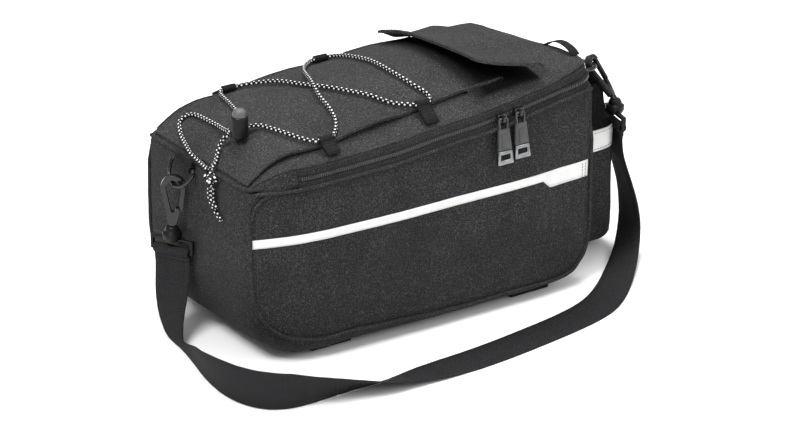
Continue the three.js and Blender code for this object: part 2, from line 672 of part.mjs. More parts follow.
function hookOutline(wall) {
  const r = HOOK_EYE + wall;
  const shape = new THREE.Shape();
  const foot = wall * 0.9;
  shape.moveTo(foot, HOOK_FOOT + foot);
  shape.lineTo(r, EYE_CENTRE);
  shape.absarc(0, EYE_CENTRE, r, 0, Math.PI, false);
  shape.lineTo(-foot, HOOK_FOOT + foot);
  shape.absarc(0, HOOK_FOOT + foot, foot, Math.PI, Math.PI * 2, false);
  shape.closePath();
  return shape;
}
function hookBody() {
  const wall = HOOK_HALF - HOOK_EYE;
  const shape = hookOutline(wall);
  const hole = new THREE.Path();
  const foot = HOOK_FOOT * 0.68;
  hole.moveTo(1.6, foot);
  hole.lineTo(HOOK_EYE, EYE_CENTRE);
  hole.absarc(0, EYE_CENTRE, HOOK_EYE, 0, Math.PI, false);
  hole.lineTo(-1.6, foot);
  hole.closePath();
  shape.holes.push(hole);
  const along = GATE_TIP.clone().sub(GATE_PIVOT);
  const lean = Math.atan2(along.x, along.y);
  const mouth = plate(new THREE.Shape([[-1, 0], [1, 0], [1, 1], [-1, 1]].map(([u, v]) => new THREE.Vector2(
    u * wall * 1.5, v * (along.length() + GAP)))), HOOK_WALL + 4).rotateY(lean)
    .translate(GATE_PIVOT.x, 0, GATE_PIVOT.y);
  const seat = new THREE.CylinderGeometry(GATE_HALF + GAP, GATE_HALF + GAP, HOOK_WALL + 4, 12)
    .translate(GATE_PIVOT.x, 0, GATE_PIVOT.y);
  return cut(plate(shape, HOOK_WALL), mouth, seat);
}
function hookGate() {
  const length = GATE_TIP.clone().sub(GATE_PIVOT).length();
  const shape = new THREE.Shape();
  shape.moveTo(GATE_HALF, length);
  shape.lineTo(-GATE_HALF, length);
  shape.lineTo(-GATE_HALF, 0);
  shape.absarc(0, 0, GATE_HALF, Math.PI, Math.PI * 2, false);
  shape.closePath();
  return plate(shape, HOOK_WALL - 1.5);
}

// Swivel and strap frame: the swivel's top is at the origin
function hookBase() {
  const r = SWIVEL_RADIUS;
  const profile = [[0, 0], [r * 0.55, 0], [r * 0.72, -3], [r * 0.72, -5], [r, -6.5], [r, -11], [r * 0.8, -SWIVEL_HEIGHT],
    [0, -SWIVEL_HEIGHT]].map(([x, z]) => new THREE.Vector2(x, z));
  const knuckle = new THREE.LatheGeometry(profile.reverse(), 12).rotateX(Math.PI / 2);
  const w = BAR_FRAME_WIDTH / 2;
  const shape = new THREE.Shape([[-w, 0], [-w, -BAR_FRAME_HEIGHT], [w, -BAR_FRAME_HEIGHT], [w, 0]]
    .map(([x, z]) => new THREE.Vector2(x, z)));
  const t = BAR_THICKNESS;
  shape.holes.push(new THREE.Path([[-w + t, -t], [w - t, -t], [w - t, -BAR_FRAME_HEIGHT + t],
    [-w + t, -BAR_FRAME_HEIGHT + t]].map(([x, z]) => new THREE.Vector2(x, z))));
  const frame = plate(shape, BAR_FRAME_WALL).translate(0, 0, -SWIVEL_HEIGHT + t - 0.5);
  return join(knuckle, frame);
}
const BAR_Z = -SWIVEL_HEIGHT + BAR_THICKNESS - 0.5 - BAR_FRAME_HEIGHT + BAR_THICKNESS / 2;

// Where each set of fittings hangs: ring, hook and base have a direction and a width axis
const FITTINGS = {
  low: {
    tab: { at: [-198.2, 13, 169], down: [0, 0.2, -1], across: [0, -1, -0.2], tail: 9 },
    ring: { down: [-0.42, 0.18, -0.9], across: [0, -1, -0.2] },
    hook: { at: [-207.5, 17.5, 150.8], down: [-0.02, 0.04, -1], across: [0.826, -0.563, 0] },
    base: { at: [-208.6, 20.4, 106], down: [0, 0, -1], across: [0.47, -0.88, 0] },
  },
  tall: {
    tab: { at: [229, -26, 189.5], down: [1, 0, 0], across: [0, 1, 0], tail: 30 },
    ring: { down: [1, 0, -0.12], across: [0, 1, 0] },
    hook: { at: [250.1, -27, 188.6], down: [0.48, -0.2, -0.85], across: [0.6, 0.6, 0.4] },
    base: { at: [274.4, -36.6, 148], down: [0, 0, -1], across: [0.242, 0.97, 0] },
  },
};

function webbingFold() {
  return foldedWebbing(WEBBING_WIDTH, BAR_FRAME_WALL / 2 + 0.9, WEBBING_WALL, 9)
    .rotateX(Math.PI).translate(0, 0, BAR_Z);
}

const folds = [];
for (const [end, place] of Object.entries(FITTINGS)) {
  const tab = orient(new THREE.Group(), follow(place.tab.at), place.tab.down, place.tab.across);
  const ring = orient(new THREE.Group(), follow(place.tab.at), place.ring.down, place.ring.across);
  const hook = orient(new THREE.Group(), follow(place.hook.at), place.hook.down, place.hook.across);
  const base = orient(new THREE.Group(), follow(place.base.at), place.base.down, place.base.across);
  group.add(tab, ring, hook, base);
  addMesh(`ring_tab_${end}`, foldedWebbing(TAB_WIDTH, RING_WIRE + GAP, 1.5, place.tab.tail), WEBBING, tab);
  addMesh(`d_ring_${end}`, dRing(), GUN_METAL, ring);
  addMesh(`snap_hook_${end}`, hookBody(), PLASTIC, hook);
  const gate = addMesh(`snap_gate_${end}`, hookGate(), PLASTIC, hook);
  const along = GATE_TIP.clone().sub(GATE_PIVOT);
  gate.rotation.y = Math.atan2(along.x, along.y);
  gate.position.set(GATE_PIVOT.x, 0, GATE_PIVOT.y);
  addMesh(`strap_frame_${end}`, hookBase(), PLASTIC, base);
  folds.push(webbingFold().applyMatrix4(base.matrix));
}

// Shoulder strap: one edge of the webbing, with the azimuth and rise of its width there.
// It drops from the low end, stands on its edge on the floor, turns over once, lies flat
// along the near side and rises to the tall end.
const STRAP_ROWS = [
  { x: -217.3, y: 37.2, z: 77, turn: -62, rise: 0 }, { x: -217.5, y: 37.5, z: 56, turn: -62, rise: 0 },
  { x: -217.5, y: 38.5, z: 34, turn: -70, rise: 0 }, { x: -216, y: 36, z: 12, turn: -84, rise: 3 },
  { x: -216, y: 22, z: -5.6, turn: -97, rise: 12 }, { x: -219, y: -8, z: -7, turn: -105, rise: 27 },
  { x: -225, y: -38, z: -7, turn: -114, rise: 44 }, { x: -232, y: -66, z: -7, turn: -122, rise: 58 },
  { x: -237, y: -92, z: -7, turn: -124, rise: 70 }, { x: -239, y: -122, z: -7, turn: -124, rise: 82 },
  { x: -234, y: -148, z: -7, turn: -124, rise: 88 }, { x: -221, y: -167, z: -7, turn: -124, rise: 88 },
  { x: -202, y: -176, z: -7, turn: -124, rise: 80 }, { x: -174, y: -177, z: -7, turn: -124, rise: 60 },
  { x: -133, y: -175, z: -7, turn: -124, rise: 38 }, { x: -98, y: -176, z: -7, turn: -124, rise: 22 },
  { x: -70, y: -171, z: -7, turn: -116, rise: 9 }, { x: -42, y: -168.5, z: -7, turn: -104, rise: 2 },
  { x: -10, y: -167, z: -7, turn: -93, rise: 0 }, { x: 25, y: -164, z: -7, turn: -86, rise: 0 },
  { x: 69, y: -158, z: -7, turn: -82, rise: 0 }, { x: 112, y: -151, z: -7, turn: -76, rise: 0 },
  { x: 147, y: -142, z: -7, turn: -72, rise: 0 }, { x: 171, y: -131, z: -7, turn: -74, rise: 0 },
  { x: 197, y: -113, z: -7, turn: -77, rise: 0 }, { x: 222, y: -92, z: -7, turn: -79, rise: 3 },
  { x: 247, y: -70, z: -6, turn: -83, rise: 8 }, { x: 268, y: -51, z: -2, turn: -88, rise: 10 },
  { x: 281, y: -39, z: 9, turn: -92, rise: 9 }, { x: 287, y: -33, z: 22, turn: -95, rise: 6 },
  { x: 289, y: -29, z: 38, turn: -98, rise: 3 }, { x: 289, y: -25, z: 55, turn: -101, rise: 0 },
  { x: 286, y: -20, z: 75, turn: -103, rise: 0 }, { x: 281.5, y: -18.5, z: 92, turn: -104, rise: 0 },
  { x: 279.4, y: -18.2, z: 106, turn: -104, rise: 0 }, { x: 279, y: -18.2, z: 114.5, turn: -104, rise: 0 },
];

function shoulderStrap() {
  const edges = STRAP_ROWS.map(({ x, y, z }) => new THREE.Vector3(...follow([x, y, z])));
  const widths = STRAP_ROWS.map(({ turn, rise }) => {
    const [a, e] = [turn, rise].map(THREE.MathUtils.degToRad);
    return new THREE.Vector3(Math.cos(e) * Math.cos(a), Math.cos(e) * Math.sin(a), Math.sin(e));
  });
  const curve = new THREE.CatmullRomCurve3(edges, false, 'centripetal');
  const fine = 2;
  const rings = [];
  for (let i = 0; i <= (edges.length - 1) * fine; i++) {
    const t = i / fine;
    const k = Math.min(Math.floor(t), edges.length - 2);
    const across = widths[k].clone().lerp(widths[k + 1], t - k).normalize();
    const place = curve.getPoint(t / (edges.length - 1));
    const along = curve.getTangent(t / (edges.length - 1));
    const thick = new THREE.Vector3().crossVectors(along, across).normalize().multiplyScalar(WEBBING_WALL / 2);
    const far = place.clone().addScaledVector(across, WEBBING_WIDTH);
    rings.push([place.clone().add(thick), far.clone().add(thick), far.clone().sub(thick), place.clone().sub(thick)]);
  }
  return join(loft(rings), ...folds);
}

// Lacing

// Routes of the elastic cord, by hand: laced over the lid from the lock and back to it, the
// two strands of the free loop behind the lock, and the two ends below the knot
const LACING_ROUTE = [
  [-154.4, -25.2, 207], [-150.5, -23.2, 207], [-140, -26, 207.2], [-131, -48, 206.2], [-122, -70, 204.2],
  [-116.5, -78.5, 203.6], [-111.3, -82.6, 203.7], [-104, -82.9, 203.7], [-96.7, -82.6, 203.7], [-91.5, -78.5, 204.9],
  [-85.5, -72, 206.8], [-78, -60.5, 210.3], [-72, -42, 214.9], [-66.5, -18, 219.5], [-58, 9, 222.9],
  [-50, 31, 221.1], [-42, 48, 218.1], [-31, 64, 214.7], [-18, 75, 213.4], [-9.3, 78.5, 213.3], [-2, 78.6, 213.3],
  [5.3, 78.4, 213.4], [9.5, 73, 215.1], [11, 60, 218.9], [12, 43, 222.7], [13.5, 14.4, 226.5], [13, -21, 226.3],
  [16, -51, 221.7], [20, -66, 217.9], [19, -75.5, 215.3], [14.3, -80, 213.7], [7, -80.2, 213.5], [-0.3, -80, 213.5],
  [-6, -76, 214], [-16, -66, 214.7], [-31, -42, 219.2], [-46.5, -12.2, 220.5], [-57.7, 9.2, 218.9],
  [-72, 45, 214.3], [-84, 66, 208.9], [-93, 75.5, 206.1], [-100.7, 79, 204.5], [-108, 79.1, 204.5], [-115.3, 79, 204.5],
  [-122.5, 69, 204.7], [-130, 44, 206.5], [-136, 22, 207.6], [-144, 2, 207.4], [-151.5, -13.5, 207.1],
  [-154.9, -18, 207], [-157.5, -21.1, 207],
];
const LOOP_ROUTE_NEAR = [
  [-171.6, -24.1, 204.5], [-174.4, -22.4, 202], [-176.5, -18.5, 195.5], [-181, -19.8, 188.4], [-187.5, -26.5, 183],
  [-193.5, -32, 181.4], [-198.6, -35.5, 180],
];
const LOOP_ROUTE_FAR = [
  [-165.3, -20.2, 204.5], [-166.4, -15.8, 203.8], [-164.5, -5, 201.6], [-162, 10, 200.2], [-161.6, 30, 199],
  [-161.6, 48, 197.6], [-164.5, 60.5, 194.6], [-173, 61, 190.4], [-180.5, 49, 185.9], [-185.6, 34.4, 182.4],
  [-190, 20, 180.4], [-193.2, 9, 178.9], [-194.4, -3, 177.8], [-195.8, -14, 177.2], [-197.6, -24, 177], [-199.3, -31.2, 175.8],
];
const TAIL_ROUTES = {
  long: [[-200, -34.5, 162.2], [-199, -31.5, 156], [-198, -31.5, 148], [-197, -36, 141], [-196.3, -42, 135],
    [-196.3, -48, 131.5]],
  short: [[-200, -40, 162.3], [-199, -38, 155], [-198, -37, 147.5], [-197.2, -41, 141.5]],
};

/** Curve whose even steps fall on the route's own points, so a cord stays inside the webbing it runs through. */
class RoutedCurve extends THREE.CatmullRomCurve3 {
  getPointAt(share, target) {
    return this.getPoint(share, target);
  }

  getTangentAt(share, target) {
    return this.getTangent(share, target);
  }
}

function cordTube(route) {
  const curve = new RoutedCurve(route.map((p) => new THREE.Vector3(...follow(p))), false, 'centripetal');
  return rod(curve, CORD_DIAMETER / 2, route.length - 1);
}

function lockBody() {
  const r = LOCK_RADIUS;
  const well = BUTTON_RADIUS + GAP;
  const floor = LOCK_HEIGHT - BUTTON_STEM - BUTTON_TRAVEL - GAP;
  const profile = [[0, 0], [r - 1, 0], [r, 1], [r, LOCK_HEIGHT - 1], [r - 0.8, LOCK_HEIGHT], [well, LOCK_HEIGHT],
    [well, floor], [0, floor]].map(([x, z]) => new THREE.Vector2(x, z));
  return new THREE.LatheGeometry(profile, 16).rotateX(Math.PI / 2);
}
function lockButton() {
  const r = BUTTON_RADIUS;
  const profile = [[0, -BUTTON_STEM], [r, -BUTTON_STEM], [r, BUTTON_RISE * 0.35], [r * 0.88, BUTTON_RISE * 0.7],
    [r * 0.55, BUTTON_RISE * 0.94], [0, BUTTON_RISE]].map(([x, z]) => new THREE.Vector2(x, z));
  return new THREE.LatheGeometry(profile, 16).rotateX(Math.PI / 2);
}

// Zip slider on the coil: its bridge holds the pull's bail, whose bar is at the local origin
function sliderBody() {
  const hole = BAIL_WIRE + GAP;
  const bridge = box(BRIDGE_WIDTH, 2 * hole + BRIDGE_WALL, 2 * (hole + BRIDGE_WALL), 0, -BRIDGE_WALL / 2, 0);
  const plate = box(SLIDER_LENGTH, SLIDER_WALL, SLIDER_HEIGHT, 0, hole + SLIDER_WALL / 2 - 0.01, 0);
  const bore = new THREE.CylinderGeometry(hole, hole, BRIDGE_WIDTH + 2, 12).rotateZ(Math.PI / 2);
  return cut(join(bridge, plate), bore);
}
function pullOutline(from, until) {
  const half = (z) => THREE.MathUtils.lerp(PULL_TOP, PULL_FOOT, z / PULL_LENGTH) / 2;
  return new THREE.Shape([[-half(from), -from], [-half(until), -until], [half(until), -until], [half(from), -from]]
    .map(([x, z]) => new THREE.Vector2(x, z)));
}
const PULL_HEAD = BAIL_LENGTH - 2;
function pullBody() {
  const bail = wireLoop([[-BAIL_HALF, 0], [BAIL_HALF, 0], [BAIL_HALF + 0.6, -1.5], [BAIL_HALF, -BAIL_LENGTH],
    [-BAIL_HALF, -BAIL_LENGTH], [-BAIL_HALF - 0.6, -1.5]], BAIL_WIRE);
  const grip = plate(pullOutline(0, PULL_LENGTH - TIP_LENGTH), PULL_WALL, 0.5).translate(0, 0, -PULL_HEAD);
  return join(bail, grip);
}
function pullTip() {
  const shape = pullOutline(PULL_LENGTH - TIP_LENGTH + GAP, PULL_LENGTH);
  const middle = -PULL_LENGTH + TIP_LENGTH * 0.52;
  const { width, height } = TIP_SLOT;
  shape.holes.push(new THREE.Path([[-1, -1], [1, -1], [1, 1], [-1, 1]]
    .map(([u, v]) => new THREE.Vector2((u * width) / 2, middle + (v * height) / 2))));
  return plate(shape, PULL_WALL + 0.6).translate(0, 0, -PULL_HEAD);
}

// Grab loop over the tall end: its arch across the bag, and rise over its foot
const GRAB_X = X_TALL - 6;
const GRAB_ARCH = [
  { y: -27, rise: 0 }, { y: -31, rise: 3.5 }, { y: -38, rise: 8 }, { y: -50, rise: 12.5 }, { y: -62, rise: 13 },
  { y: -70, rise: 9.5 }, { y: -75, rise: 4 }, { y: -77, rise: -0.6 },
];
function grabLoop() {
  const foot = Math.max(lidHeight(GRAB_X, GRAB_ARCH[0].y), lidHeight(GRAB_X, GRAB_ARCH[7].y)) + 4 * GAP;
  const line = GRAB_ARCH.map(({ y, rise }) => new THREE.Vector3(GRAB_X, y, foot + rise));
  return loft(line.map((p, i) => {
    const along = line[Math.min(i + 1, line.length - 1)].clone().sub(line[Math.max(i - 1, 0)]).normalize();
    const out = new THREE.Vector3(0, along.z, -along.y).multiplyScalar(GRAB_WALL);
    const side = new THREE.Vector3(GRAB_WIDTH, 0, 0);
    return [p, p.clone().add(side), p.clone().add(side).add(out), p.clone().add(out)];
  }));
}

addMesh('body_shell', bodyShell(), HEATHER);
for (const [name, side] of [['near', -1], ['far', 1]]) {
  addMesh(`side_piping_${name}`, rod(new THREE.CatmullRomCurve3(pipingPath(side)), PIPING_RADIUS, 14, 6), HEATHER);
  addMesh(`panel_welt_${name}`, rod(new THREE.CatmullRomCurve3(weltPath(side)), PIPING_RADIUS, 44, 6), HEATHER);
  addMesh(`side_stripe_${name}`, sideStripe(side), REFLECTIVE);
  addMesh(`band_hinge_${name}`, hingePanel(side), HEATHER);
}
addMesh('zip_tape_lower', bandWall(0, 0.5 - COIL_SHARE - 0.02, X_ZIP, BAND_WALL), BINDING);
addMesh('zip_coil', bandWall(0.5 - COIL_SHARE, 0.5 + COIL_SHARE, X_ZIP, BAND_WALL, COIL_PROUD), BINDING);
addMesh('zip_tape_upper', bandWall(0.5 + COIL_SHARE + 0.02, 1, X_ZIP, BAND_WALL), BINDING);
addMesh('lid_shell', lidShell(), LID_FABRIC);
addMesh('lacing_panel', overlayPanel(), LID_FABRIC);
addMesh('access_flap', accessFlap(), LID_FABRIC);
addMesh('grab_loop', grabLoop(), WEBBING);
addMesh('pocket_body', pocketBody(), HEATHER);
addMesh('pocket_band', pocketBand(), REFLECTIVE);
addMesh('pocket_collar', pocketCollar(), BINDING);

for (const { name, start, length } of RACK_STRAPS) {
  addMesh(`rack_strap_${name}`, box(RACK_STRAP_WIDTH, length, RACK_STRAP_WALL - GAP,
    X_LOW + start + RACK_STRAP_WIDTH / 2, 0, -GAP - (RACK_STRAP_WALL - GAP) / 2), WEBBING);
}

addMesh('shoulder_strap', shoulderStrap(), WEBBING);

for (const { name, x, side, share } of LOOPS) {
  const hole = CORD_DIAMETER / 2 + LOOP_PLAY;
  const y = halfWidth(x) * share;
  const foot = lidHalf(x) - LOOP_INSET;
  const top = Math.max(lidHeight(x - LOOP_WIDTH / 2, y), lidHeight(x + LOOP_WIDTH / 2, y));
  const fold = new THREE.Vector3(x, side * y, top + OVERLAY_LIFT + OVERLAY_WALL + LOOP_STAND + hole + LOOP_WALL);
  const end = new THREE.Vector3(x, side * foot, lidHeight(x, foot) + 2 * LOOP_WALL + LOOP_STAND);
  const loop = orient(new THREE.Group(), fold.toArray(), fold.clone().sub(end).toArray(), [1, 0, 0]);
  group.add(loop);
  addMesh(`lacing_loop_${name}`, foldedWebbing(LOOP_WIDTH, hole, LOOP_WALL, fold.distanceTo(end)), WEBBING, loop);
}
addMesh('lacing_cord', cordTube(LACING_ROUTE), CORD);
addMesh('loop_cord_near', cordTube(LOOP_ROUTE_NEAR), CORD);
addMesh('loop_cord_far', cordTube(LOOP_ROUTE_FAR), CORD);
addMesh('cord_knot', new THREE.SphereGeometry(1, 10, 8).scale(...KNOT_RADII).rotateX(Math.PI / 2)
  .translate(...follow(KNOT_PLACE)), CORD);
for (const [name, route] of Object.entries(TAIL_ROUTES)) addMesh(`cord_tail_${name}`, cordTube(route), CORD);

const lock = new THREE.Group();
lock.position.set(...follow(LOCK_PLACE));
group.add(lock);
addMesh('lock_barrel', lockBody(), PLASTIC, lock);
addMesh('lock_button', lockButton(), BUTTON, lock).position.z = LOCK_HEIGHT;

for (const { name, x } of SLIDERS) {
  const slider = new THREE.Group();
  const coil = halfWidth(x) - BAND_LEAN * (0.5 - COIL_SHARE) + COIL_PROUD;
  slider.position.set(x, -(coil + GAP + SLIDER_WALL + BAIL_WIRE + GAP), bandLevel(x, 0.5));
  group.add(slider);
  addMesh(`zip_slider_${name}`, sliderBody(), METAL, slider);
  const pull = new THREE.Group();
  pull.rotation.x = -THREE.MathUtils.degToRad(PULL_TILT);
  slider.add(pull);
  addMesh(`zip_pull_${name}`, pullBody(), PLASTIC, pull);
  addMesh(`pull_tip_${name}`, pullTip(), METAL, pull);
}

export default group;
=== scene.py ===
"""Looks of the bicycle rack bag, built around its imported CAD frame.

The cloth pieces are finer, slackened versions of their CAD solids, with creased edges, sewn lines
and woven finishes. Cords are round braided tubes on the CAD routes, and the hard fittings are
rounded copies of their solids. Lengths are metres, and a few tables that mirror the CAD source
are millimetres, as their names say.
"""

from __future__ import annotations

import logging
import math
from collections.abc import Callable, Iterable, Sequence
from dataclasses import dataclass, field
from enum import Enum
from itertools import accumulate

import bmesh
import bpy
from mathutils import Matrix, Vector, noise
from mathutils.bvhtree import BVHTree

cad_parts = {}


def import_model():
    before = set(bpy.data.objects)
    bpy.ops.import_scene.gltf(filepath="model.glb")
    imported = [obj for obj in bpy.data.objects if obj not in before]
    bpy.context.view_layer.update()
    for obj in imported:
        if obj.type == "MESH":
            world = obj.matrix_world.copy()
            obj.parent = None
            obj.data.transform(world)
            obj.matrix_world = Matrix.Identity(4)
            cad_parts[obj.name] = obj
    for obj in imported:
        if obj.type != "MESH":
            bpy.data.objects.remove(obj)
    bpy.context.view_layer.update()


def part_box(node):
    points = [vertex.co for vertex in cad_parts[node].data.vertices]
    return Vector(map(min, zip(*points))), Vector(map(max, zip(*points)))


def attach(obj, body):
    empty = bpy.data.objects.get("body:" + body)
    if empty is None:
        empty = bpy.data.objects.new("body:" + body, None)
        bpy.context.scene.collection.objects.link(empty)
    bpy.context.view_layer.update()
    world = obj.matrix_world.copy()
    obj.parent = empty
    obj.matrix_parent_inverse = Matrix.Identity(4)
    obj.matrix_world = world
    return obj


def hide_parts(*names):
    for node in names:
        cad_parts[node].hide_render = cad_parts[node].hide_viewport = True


LOG = logging.getLogger("rack_bag")
MM = 0.001
BAG = "bag"
NOISE_SEED = 11
SIDES = {"near": -1, "far": 1}
ENDS = ("low", "tall")

Colour = tuple[float, float, float]
Point = tuple[float, float, float]
Span = tuple[float, float]
Socket = bpy.types.NodeSocket
Piece = bpy.types.Object


class Slot(Enum):
    """Material slots of the pieces."""

    HEATHER = "heather"
    LID = "lid_fabric"
    BINDING = "binding"
    WEBBING = "webbing"
    REFLECTIVE = "reflective"
    CORD = "cord"
    GUN_METAL = "gun_metal"
    PLASTIC = "plastic"
    BUTTON = "button"
    BRIGHT_METAL = "bright_metal"


# Finishes


def grey(value: float, blue: float | None = None) -> Colour:
    """Gives a grey, whose blue may differ a little."""
    return (value, value, value if blue is None else blue)


class NodeBench:
    """Adds and links the shader nodes of one material."""

    MIX_INPUTS = (0, 6, 7)
    MIX_COLOUR = 2
    COAT_ROUGHNESS = 0.15

    def __init__(self, name: str) -> None:
        """Starts a material with an empty Principled shader."""
        self.material = bpy.data.materials.new(name)
        self.material.use_nodes = True
        self.tree = self.material.node_tree
        self.shader = self.tree.nodes["Principled BSDF"]

    def add(self, kind: str, **values: object) -> bpy.types.Node:
        """Adds a node, with settings by attribute name and input values by socket name."""
        node = self.tree.nodes.new(kind)
        for key, value in values.items():
            if hasattr(node, key):
                setattr(node, key, value)
            else:
                node.inputs[key.title()].default_value = value
        return node

    def feed(self, node: bpy.types.Node, place: str | int, value: object) -> None:
        """Links a socket into a node's input, or sets the input's own value."""
        if isinstance(value, Socket):
            self.tree.links.new(value, node.inputs[place])
        else:
            node.inputs[place].default_value = value

    def coordinates(self, kind: str = "Object", stretch: Sequence[float] = (1, 1, 1)) -> Socket:
        """Gives Object or UV coordinates, stretched along each axis."""
        source = self.add("ShaderNodeTexCoord")
        mapping = self.add("ShaderNodeMapping")
        self.feed(mapping, "Scale", stretch)
        self.feed(mapping, "Vector", source.outputs[kind])
        return mapping.outputs["Vector"]

    def axes(self, kind: str = "Object") -> bpy.types.NodeOutputs:
        """Gives the coordinates one by one, as X, Y and Z."""
        split = self.add("ShaderNodeSeparateXYZ")
        self.feed(split, 0, self.coordinates(kind))
        return split.outputs

    def noise(self, place: Socket, scale: float, detail: float = 2.0) -> Socket:
        """Gives the value of a noise pattern."""
        node = self.add("ShaderNodeTexNoise", scale=scale, detail=detail)
        self.feed(node, "Vector", place)
        return node.outputs["Fac"]

    def cells(self, scale: float) -> Socket:
        """Gives the distance from the middles of a cell pattern on the piece's own places."""
        node = self.add("ShaderNodeTexVoronoi", scale=scale)
        self.feed(node, "Vector", self.coordinates())
        return node.outputs["Distance"]

    def math(self, operation: str, *values: object) -> Socket:
        """Gives the result of a math node on sockets or numbers."""
        node = self.add("ShaderNodeMath", operation=operation)
        for place, value in enumerate(values):
            self.feed(node, place, value)
        return node.outputs[0]

    def ramp(self, value: Socket, *stops: tuple[float, Colour]) -> Socket:
        """Turns a value into colour by a ramp."""
        node = self.add("ShaderNodeValToRGB")
        elements = node.color_ramp.elements
        while len(elements) < len(stops):
            elements.new(0.5)
        for element, (place, colour) in zip(elements, stops):
            element.position = place
            element.color = (*colour, 1)
        self.feed(node, "Fac", value)
        return node.outputs["Color"]

    def multiply(self, first: Socket, second: Socket) -> Socket:
        """Multiplies two colours in full."""
        node = self.add("ShaderNodeMix", data_type="RGBA", blend_type="MULTIPLY")
        for place, value in zip(self.MIX_INPUTS, (1.0, first, second)):
            self.feed(node, place, value)
        return node.outputs[self.MIX_COLOUR]

    def relief(self, height: Socket, strength: float, depth: float) -> None:
        """Bumps the shader by a height."""
        bump = self.add("ShaderNodeBump")
        for name, value in (("Strength", strength), ("Distance", depth), ("Height", height)):
            self.feed(bump, name, value)
        self.feed(self.shader, "Normal", bump.outputs["Normal"])

    def surface(
        self, colour: object, roughness: float, metallic: float = 0, specular: float = 0.5, coat: float = 0
    ) -> None:
        """Gives the shader its colour and its constants."""
        values = {
            "Base Color": colour, "Roughness": roughness, "Metallic": metallic,
            "Specular IOR Level": specular, "Coat Weight": coat,
        }
        if coat:
            values["Coat Roughness"] = self.COAT_ROUGHNESS
        for name, value in values.items():
            self.feed(self.shader, name, value)


@dataclass(frozen=True)
class Finish:
    """A material that draws itself on a node bench."""

    name: str

    def material(self) -> bpy.types.Material:
        """Builds the material."""
        bench = NodeBench(self.name)
        self.draw(bench)
        return bench.material

    def draw(self, bench: NodeBench) -> None:
        """Draws the finish."""
        raise NotImplementedError


@dataclass(frozen=True)
class HeatherCloth(Finish):
    """Plain weave of dark yarn with lighter yarn in it."""

    dark: Colour
    light: Colour
    flecks: float = 0.6
    yarn: float = 0.00065
    warp: Point = (0.45, 0.45, 1.0)
    weft: Point = (1.0, 1.0, 0.4)
    fleck_edge: float = 0.14
    patches: float = 22
    uneven: Span = (0.8, 1.12)

    def draw(self, bench: NodeBench) -> None:
        """Crosses two sets of yarn streaks, with a soft unevenness and a woven relief."""
        warp, weft = (
            bench.noise(bench.coordinates("Object", way), 1 / self.yarn) for way in (self.warp, self.weft)
        )
        yarns = bench.ramp(
            bench.math("MAXIMUM", warp, weft),
            (0.5, self.dark), (self.flecks, self.dark), (self.flecks + self.fleck_edge, self.light),
        )
        patch = bench.noise(bench.coordinates(), self.patches, 3)
        low, high = self.uneven
        shade = bench.ramp(patch, (0.25, grey(low)), (0.75, grey(high)))
        colour = self.add_painted_shade(bench, bench.multiply(yarns, shade))
        bench.relief(bench.math("ADD", warp, weft), 0.45, 0.0006)
        bench.surface(colour, 0.9, specular=0.12)

    def add_painted_shade(self, bench: NodeBench, colour: Socket) -> Socket:
        """Gives the cloth's colour as it is, with no painted shade."""
        return colour


@dataclass(frozen=True)
class OpeningShadeCloth(HeatherCloth):
    """Cloth of the lid that darkens inwards from its edges, as painted soft shadow, into the black of the
    opening and the painted shade under the hand flap.
    """

    # Where the painted soft shadow starts on X and Y in metres, how far it runs to full shade, and how dark
    # the painted shade gets as a share of the colour.
    start: Span = (0.061, -0.091)
    fade: Span = (0.02, 0.007)
    black: float = 0.05

    def add_painted_shade(self, bench: NodeBench, colour: Socket) -> Socket:
        """Darkens the colour by the distance from the low edge and the near edge: painted soft shadow that
        deepens into the painted shade and black opening under the flap.
        """
        axes = bench.axes()
        shares = [
            bench.math("DIVIDE", bench.math("SUBTRACT", axes[axis], start), fade)
            for axis, start, fade in zip("XY", self.start, self.fade)
        ]
        # Painted shade: full colour at the edges, down to the dark share inside.
        share = bench.ramp(bench.math("MINIMUM", *shares), (0.0, grey(1)), (1.0, grey(self.black)))
        return bench.multiply(colour, share)


@dataclass(frozen=True)
class RibbedWebbing(Finish):
    """Woven strap with cross ribs, on the piece's own UV in metres or, with none, on its places."""

    dark: Colour
    light: Colour
    rib: float = 0.0022
    on_uv: bool = True

    def draw(self, bench: NodeBench) -> None:
        """Crosses sine ribs, with a little grit in their tone."""
        axes = bench.axes("UV" if self.on_uv else "Object")
        turn = 2 * math.pi / self.rib
        along = bench.math("SINE", bench.math("MULTIPLY", axes["Y" if self.on_uv else "Z"], turn))
        across = bench.math("SINE", bench.math("MULTIPLY", axes["X"], turn * 0.8))
        weave = bench.math("MULTIPLY", along, across)
        height = bench.math("ADD", bench.math("MULTIPLY", along, 0.35), weave)
        grit = bench.noise(bench.coordinates(), 900, 1)
        tone = bench.math("ADD", bench.math("MULTIPLY", height, 0.22), grit)
        bench.relief(height, 0.5, 0.0005)
        bench.surface(bench.ramp(tone, (0.3, self.dark), (0.8, self.light)), 0.75, specular=0.1)


@dataclass(frozen=True)
class BraidedCord(Finish):
    """Round elastic cord, black with light flecks in staggered rows, on the piece's own UV."""

    name: str = "braided_cord"
    dark: Colour = grey(0.004, 0.0045)
    light: Colour = grey(0.7, 0.69)
    pitch: float = 0.0052
    turn: float = math.pi / 2

    def draw(self, bench: NodeBench) -> None:
        """Draws rows of flecks, each half a step on from its neighbour."""
        axes = bench.axes("UV")
        along = bench.math("MULTIPLY", axes["Y"], 2 * math.pi / self.pitch)
        around = bench.math("ADD", bench.math("MULTIPLY", axes["X"], 4 * math.pi), self.turn)
        crossing = bench.math("MULTIPLY", bench.math("COSINE", along), bench.math("COSINE", around))
        bench.relief(crossing, 0.5, 0.0003)
        flecks = bench.ramp(crossing, (0.36, self.dark), (0.52, self.light))
        bench.surface(flecks, 0.75, specular=0.25)


